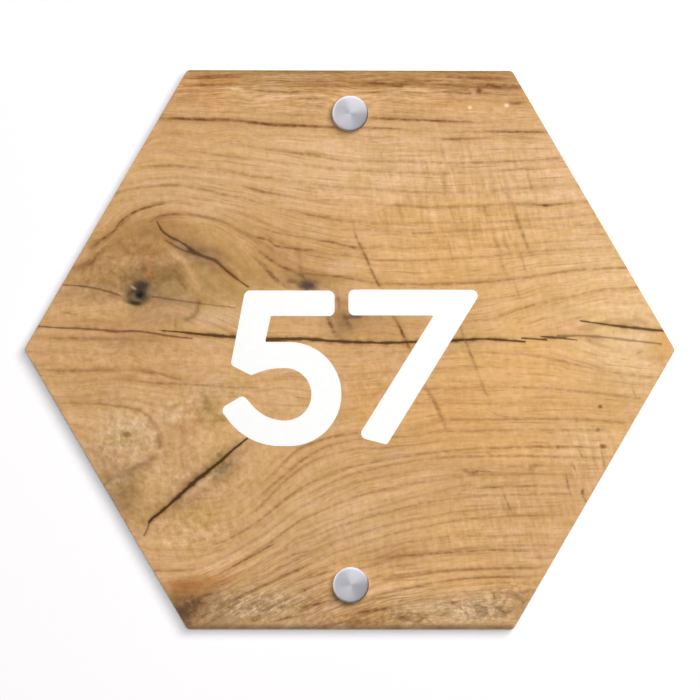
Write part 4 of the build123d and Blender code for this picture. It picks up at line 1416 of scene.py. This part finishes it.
def screw_tree():
    """Geometry nodes for a countersunk wood screw along Y, its head's top at a named depth."""
    tree = bpy.data.node_groups.new("wood screw", "GeometryNodeTree")
    tree.interface.new_socket("Geometry", in_out="OUTPUT", socket_type="NodeSocketGeometry")
    for name in [*screw_sizes, "Height", "Turn"]:
        tree.interface.new_socket(name, in_out="INPUT", socket_type="NodeSocketFloat")
    tree.interface.new_socket("Material", in_out="INPUT", socket_type="NodeSocketMaterial")
    given = add_node(tree, "NodeGroupInput").outputs

    def at_depth(shape, y):
        return add_node(tree, "GeometryNodeTransform", {
            "Geometry": shape, "Translation": vector_of(tree, 0.0, 0.0, y)}).outputs[0]

    def ring_wall(near_radius, near_y, far_radius, far_y):
        cone = add_node(tree, "GeometryNodeMeshCone", {
            "Vertices": screw_sides, "Radius Top": far_radius, "Radius Bottom": near_radius,
            "Depth": minus(tree, far_y, near_y)}, fill_type="NONE").outputs["Mesh"]
        return at_depth(cone, near_y)

    def map_range(value, low, high, from_low, from_high):
        return add_node(tree, "ShaderNodeMapRange", {
            "Value": value, "From Min": low, "From Max": high, "To Min": from_low,
            "To Max": from_high}).outputs[0]

    land_y = plus(tree, given["Head Top"], given["Head Land"])
    cone_depth = minus(tree, given["Head Radius"], given["Neck Radius"])
    cone_y = plus(tree, land_y, cone_depth)
    walls = [
        ring_wall(given["Head Radius"], given["Head Top"], given["Head Radius"], land_y),
        ring_wall(given["Head Radius"], land_y, given["Neck Radius"], cone_y),
        ring_wall(given["Neck Radius"], cone_y, given["Neck Radius"], given["Thread Start"]),
    ]
    lid = add_node(tree, "GeometryNodeMeshCircle", {
        "Vertices": screw_sides, "Radius": given["Head Radius"]}, fill_type="NGON").outputs[0]
    lid = at_depth(lid, given["Head Top"])

    rows = screw_rows_per_turn * screw_turns
    grid = add_node(tree, "GeometryNodeMeshGrid", {
        "Vertices X": screw_sides + 1, "Vertices Y": rows}).outputs["Mesh"]
    index = add_node(tree, "GeometryNodeInputIndex").outputs[0]
    column = sum_of(tree, "FLOOR", sum_of(tree, "DIVIDE", plus(tree, index, 0.5), rows))
    row = minus(tree, index, times(tree, column, rows))
    turn = sum_of(tree, "DIVIDE", column, screw_sides)
    step = sum_of(tree, "DIVIDE", row, screw_rows_per_turn)
    turns_down = minus(tree, plus(tree, step, turn), 1.0)
    free_y = sum_of(tree, "MULTIPLY_ADD", turns_down, given["Pitch"], given["Thread Start"])
    y = sum_of(tree, "MINIMUM", sum_of(tree, "MAXIMUM", free_y, given["Thread Start"]),
               given["Point End"])
    in_turn = sum_of(tree, "FRACT", plus(tree, step, 0.001))
    from_crest = sum_of(tree, "ABSOLUTE", minus(tree, in_turn, 0.5))
    tooth = map_range(from_crest, crest_half, tooth_half, 1.0, 0.0)
    below_start = minus(tree, y, given["Thread Start"])
    run_in = map_range(below_start, 0.0, given["Pitch"], 0.0, 1.0)
    core = map_range(below_start, 0.0, times(tree, given["Pitch"], neck_run),
                     given["Neck Radius"], given["Core Radius"])
    taper = map_range(y, given["Point Start"], given["Point End"], 1.0, 0.0)
    height = minus(tree, given["Crest Radius"], given["Core Radius"])
    height = times(tree, times(tree, height, tooth), run_in)
    radius = times(tree, plus(tree, core, height), taper)
    angle = times(tree, turn, 2 * pi)
    place = vector_of(tree, times(tree, radius, sum_of(tree, "COSINE", angle)),
                      times(tree, radius, sum_of(tree, "SINE", angle)), y)
    thread = add_node(tree, "GeometryNodeSetPosition", {
        "Geometry": grid, "Position": place}).outputs[0]

    joined = add_node(tree, "GeometryNodeJoinGeometry")
    for part in [*walls, lid, thread]:
        tree.links.new(part, joined.inputs[0])
    body = add_node(tree, "GeometryNodeMergeByDistance", {
        "Geometry": joined.outputs[0], "Distance": 1e-6}).outputs[0]

    cross = add_node(tree, "GeometryNodeMeshBoolean", operation="UNION", solver="EXACT")
    spans = [times(tree, given[name], 2.0) for name in ("Recess Half Span", "Recess Half Wing")]
    for long, wide in ((0, 1), (1, 0)):
        block = add_node(tree, "GeometryNodeMeshCube", {
            "Size": vector_of(tree, spans[long], spans[wide],
                              times(tree, given["Recess Depth"], 2.0))}).outputs["Mesh"]
        spot = parts_of(tree, add_node(tree, "GeometryNodeInputPosition").outputs[0])
        deep = sum_of(tree, "GREATER_THAN", spot[2], 0.0)
        shrink = [minus(tree, 1.0, times(tree, deep, share)) for share in recess_taper]
        narrowed = vector_of(tree, times(tree, spot[0], shrink[long]),
                             times(tree, spot[1], shrink[wide]), spot[2])
        wing = add_node(tree, "GeometryNodeSetPosition", {"Geometry": block, "Position": narrowed})
        tree.links.new(wing.outputs[0], cross.inputs[1])
    cut = add_node(tree, "GeometryNodeMeshBoolean", operation="DIFFERENCE", solver="EXACT")
    tree.links.new(body, cut.inputs[0])
    tree.links.new(at_depth(cross.outputs[0], given["Head Top"]), cut.inputs[1])

    turned = add_node(tree, "GeometryNodeTransform", {
        "Geometry": cut.outputs[0],
        "Rotation": vector_of(tree, 0.0, 0.0, given["Turn"])}).outputs[0]
    laid = add_node(tree, "GeometryNodeTransform", {
        "Geometry": turned, "Translation": vector_of(tree, 0.0, 0.0, given["Height"]),
        "Rotation": (-pi / 2, 0.0, 0.0)}).outputs[0]
    real = add_node(tree, "GeometryNodeRealizeInstances", {"Geometry": laid}).outputs[0]
    painted = add_node(tree, "GeometryNodeSetMaterial", {
        "Geometry": real, "Material": given["Material"]}).outputs[0]
    output = add_node(tree, "NodeGroupOutput")
    tree.links.new(painted, output.inputs[0])
    return tree


def from_nodes(name, tree, inputs):
    """A plain mesh object made by a node tree, with its inputs set by name."""
    holder = new_object(name + "_nodes", bpy.data.meshes.new(name + "_nodes"))
    modifier = holder.modifiers.new("nodes", "NODES")
    modifier.node_group = tree
    for socket in tree.interface.items_tree:
        if socket.in_out == "INPUT" and socket.name in inputs:
            modifier[socket.identifier] = inputs[socket.name]
    holder.update_tag()
    seen = bpy.context.evaluated_depsgraph_get()
    mesh = bpy.data.meshes.new_from_object(holder.evaluated_get(seen))
    mesh.name = name
    bpy.data.objects.remove(holder)
    return new_object(name, mesh)


def zinc_plate():
    """Bright zinc plate, a little cloudy and blue."""
    material, tree, shader = new_material("zinc plate")
    cloud = noise(tree, place_in_mm(tree), 1.2, 4.0)
    uneven(tree, shader, cloud, (172, 176, 184), (208, 209, 212), 0.25, 0.42)
    shader.inputs["Metallic"].default_value = 1.0
    return material


wood_screw = screw_tree()
zinc = zinc_plate()
for side, turn in (("upper", 28), ("lower", -61)):
    inputs = {**screw_sizes, "Height": fixing_heights[side], "Turn": radians(turn),
              "Material": zinc}
    screw = from_nodes(side + "_wood_screw", wood_screw, inputs)
    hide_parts(side + "_screw")
    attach(screw, "root")

# Caps.
# Stainless steel caps, turned from bar and faced with the tool's fine rings left on, which
# wind onto the bases and hide the screws.
cap_radius, cap_bore_radius = 5.5 * MM, 4.75 * MM
cap_front, cap_ceiling, cap_back = -8.5 * MM, -7.6 * MM, -5.0 * MM
cap_crown, crown_steps = 0.22 * MM, (0.1, 0.25, 0.4, 0.55, 0.7, 0.8)
cap_lead_in = 0.2 * MM
rings_per_mm = 9.0


def turned_steel(name, height):
    """Stainless steel faced on a lathe: each ring spreads the light outwards."""
    material, tree, shader = new_material(name)
    x, _, z = parts_of(tree, place_in_mm(tree))
    up = minus(tree, z, height / MM)
    out = sum_of(tree, "SQRT", plus(tree, times(tree, x, x), times(tree, up, up)))
    rings = noise(tree, vector_of(tree, times(tree, out, rings_per_mm), 0.0), 1.0, 3.0)
    uneven(tree, shader, rings, (186, 185, 192), (208, 207, 213), 0.33, 0.41)
    side = vector_of(tree, up, 0.0, times(tree, x, -1.0))
    around = add_node(tree, "ShaderNodeVectorMath", {0: side}, operation="NORMALIZE").outputs[0]
    fill(tree, shader, {
        "Metallic": 1.0, "Tangent": around, "Anisotropic": 0.82, "Anisotropic Rotation": 0.25})
    return material


for side, height in fixing_heights.items():
    name = side + "_steel_cap"
    crown = [(cap_radius * t, cap_front + cap_crown * t ** 2, 0) for t in crown_steps]
    profile = rounded_profile([
        (0, cap_front, 0), *crown,
        (cap_radius, cap_front + cap_crown, 0.5 * MM), (cap_radius, cap_back, 0.12 * MM),
        (cap_bore_radius + cap_lead_in, cap_back, 0), (cap_bore_radius, cap_back - cap_lead_in, 0),
        (cap_bore_radius, cap_ceiling, 0), (0, cap_ceiling, 0),
    ])
    mesh = turned_mesh(name, profile, height)
    mesh.materials.append(turned_steel(side + " turned steel", height))
    cap = new_object(name, mesh)
    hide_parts(side + "_cap")
    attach(cap, "root")

# Wall, light and camera.
# The plate hangs flat on a plain pale wall, lit softly from the upper right. The camera looks
# at it from far off, from a little below and to the left, so its lower edges just show.
camera_lens, sensor_width = 600.0, 36.0
photo_width_px = 700
view_distance = photo_width_px / photo_px_per_m * camera_lens / sensor_width
camera_data = bpy.data.cameras.new("camera")
camera_data.lens = camera_lens
camera_data.sensor_width = sensor_width
from_left, from_below, camera_roll = radians(2.59), radians(3.76), radians(-0.076)
aim = Vector((-0.05 * MM, front_y, -0.18 * MM))
backward = Vector((-sin(from_left) * cos(from_below), -cos(from_left) * cos(from_below),
                   -sin(from_below)))
camera = new_object("camera", camera_data)
camera.location = aim + backward * view_distance
level_camera = (-backward).to_track_quat("-Z", "Y")
camera.rotation_euler = (level_camera @ Quaternion((0, 0, 1), camera_roll)).to_euler()
bpy.context.scene.camera = camera

# The wall has an opening behind the plate, a little smaller than it.
wall_half, opening_inset = 2.0, 0.2 * MM
wall_shape = bmesh.new()
rectangle = wall_half * np.array([(1, -1), (1, 1), (-1, 1), (-1, -1)])
edges = []
for loop in (rectangle, hexagon_loop(opening_inset)):
    corners = [wall_shape.verts.new((x, back_y, z)) for x, z in loop]
    edges.extend(wall_shape.edges.new((corners[i - 1], corners[i])) for i in range(len(corners)))
bmesh.ops.triangle_fill(wall_shape, use_beauty=True, edges=edges)
for face in wall_shape.faces:
    face.normal_update()
    if face.normal.y > 0:
        face.normal_flip()
wall_mesh = mesh_of("wall", wall_shape)
wall = new_object("wall", wall_mesh)

wall_material, tree, wall_shader = new_material("wall paint")
rays = add_node(tree, "ShaderNodeLightPath").outputs
seen = sum_of(tree, "MAXIMUM", rays["Is Camera Ray"], rays["Is Glossy Ray"])
fill(tree, wall_shader, {
    "Base Color": srgb(210, 207, 208), "Roughness": 0.9, "Specular IOR Level": 0.0,
    "Emission Color": (1, 0.985, 0.995, 1), "Emission Strength": times(tree, seen, 0.40)})
# the wall's back is clear, so that the plate can be seen from behind
clear = add_node(tree, "ShaderNodeBsdfTransparent").outputs[0]
behind = add_node(tree, "ShaderNodeNewGeometry").outputs["Backfacing"]
both = add_node(tree, "ShaderNodeMixShader", {0: behind, 1: wall_shader.outputs[0], 2: clear})
tree.links.new(both.outputs[0], tree.nodes["Material Output"].inputs[0])
wall_mesh.materials.append(wall_material)

# The room is plain white to the camera and dim on the plate. In the steel it is brighter above
# and to the left.
world = bpy.data.worlds.new("room light")
bpy.context.scene.world = world
world.use_nodes = True
tree = world.node_tree
tree.nodes.clear()
rays = add_node(tree, "ShaderNodeLightPath").outputs
room_level, room_level_in_steel, room_slope = 0.13, 0.66, (-1.2, 0.0, 1.2)
towards = add_node(tree, "ShaderNodeTexCoord").outputs["Generated"]
brighter_side = add_node(tree, "ShaderNodeVectorMath", {0: towards, 1: room_slope},
                         operation="DOT_PRODUCT").outputs["Value"]
in_steel = plus(tree, brighter_side, room_level_in_steel - room_level)
level = sum_of(tree, "MULTIPLY_ADD", rays["Is Glossy Ray"], in_steel, room_level)
level = sum_of(tree, "MAXIMUM", level, rays["Is Camera Ray"])
sky = add_node(tree, "ShaderNodeBackground", {"Color": (1, 1, 1, 1), "Strength": level})
output = add_node(tree, "ShaderNodeOutputWorld")
tree.links.new(sky.outputs[0], output.inputs[0])


def area_lamp(name, shape, size, watts, location):
    """A lamp that shines from its place towards the middle of the plate."""
    data = bpy.data.lights.new(name, "AREA")
    data.shape, data.size, data.energy = shape, size, watts
    lamp = new_object(name, data)
    lamp.location = location
    lamp.rotation_euler = (-lamp.location).to_track_quat("-Z", "Y").to_euler()
    return lamp


# The soft lamp is an oval, turned so that its long way rises to the right.
lamp_depth, lamp_side, lamp_up = 1.5, 0.31, 0.25
lamp_long, lamp_short, lamp_tilt = 0.47, 0.32, radians(39.0)
lamp = area_lamp("soft lamp", "ELLIPSE", size=2 * lamp_long * lamp_depth, watts=27.1,
                 location=(lamp_side * lamp_depth, -lamp_depth, lamp_up * lamp_depth))
lamp.data.size_y = 2 * lamp_short * lamp_depth
backward = lamp.location.normalized()
long_way = Vector((cos(lamp_tilt), 0, sin(lamp_tilt)))
short_way = backward.cross(long_way).normalized()
turned = Matrix((short_way.cross(backward), short_way, backward)).transposed()
lamp.rotation_euler = turned.to_euler()
lamp.visible_glossy = False

# The glint lamp shows only in reflections, and the back lamp lights the plate from behind.
glint = area_lamp("glint lamp", "DISK", size=4.8, watts=84.0, location=(1.37, -2.84, 2.47))
glint.visible_diffuse = False
area_lamp("back lamp", "DISK", size=1.6, watts=26.0, location=(-0.5, 1.6, 0.5))

bpy.context.scene.view_settings.view_transform = "Standard"
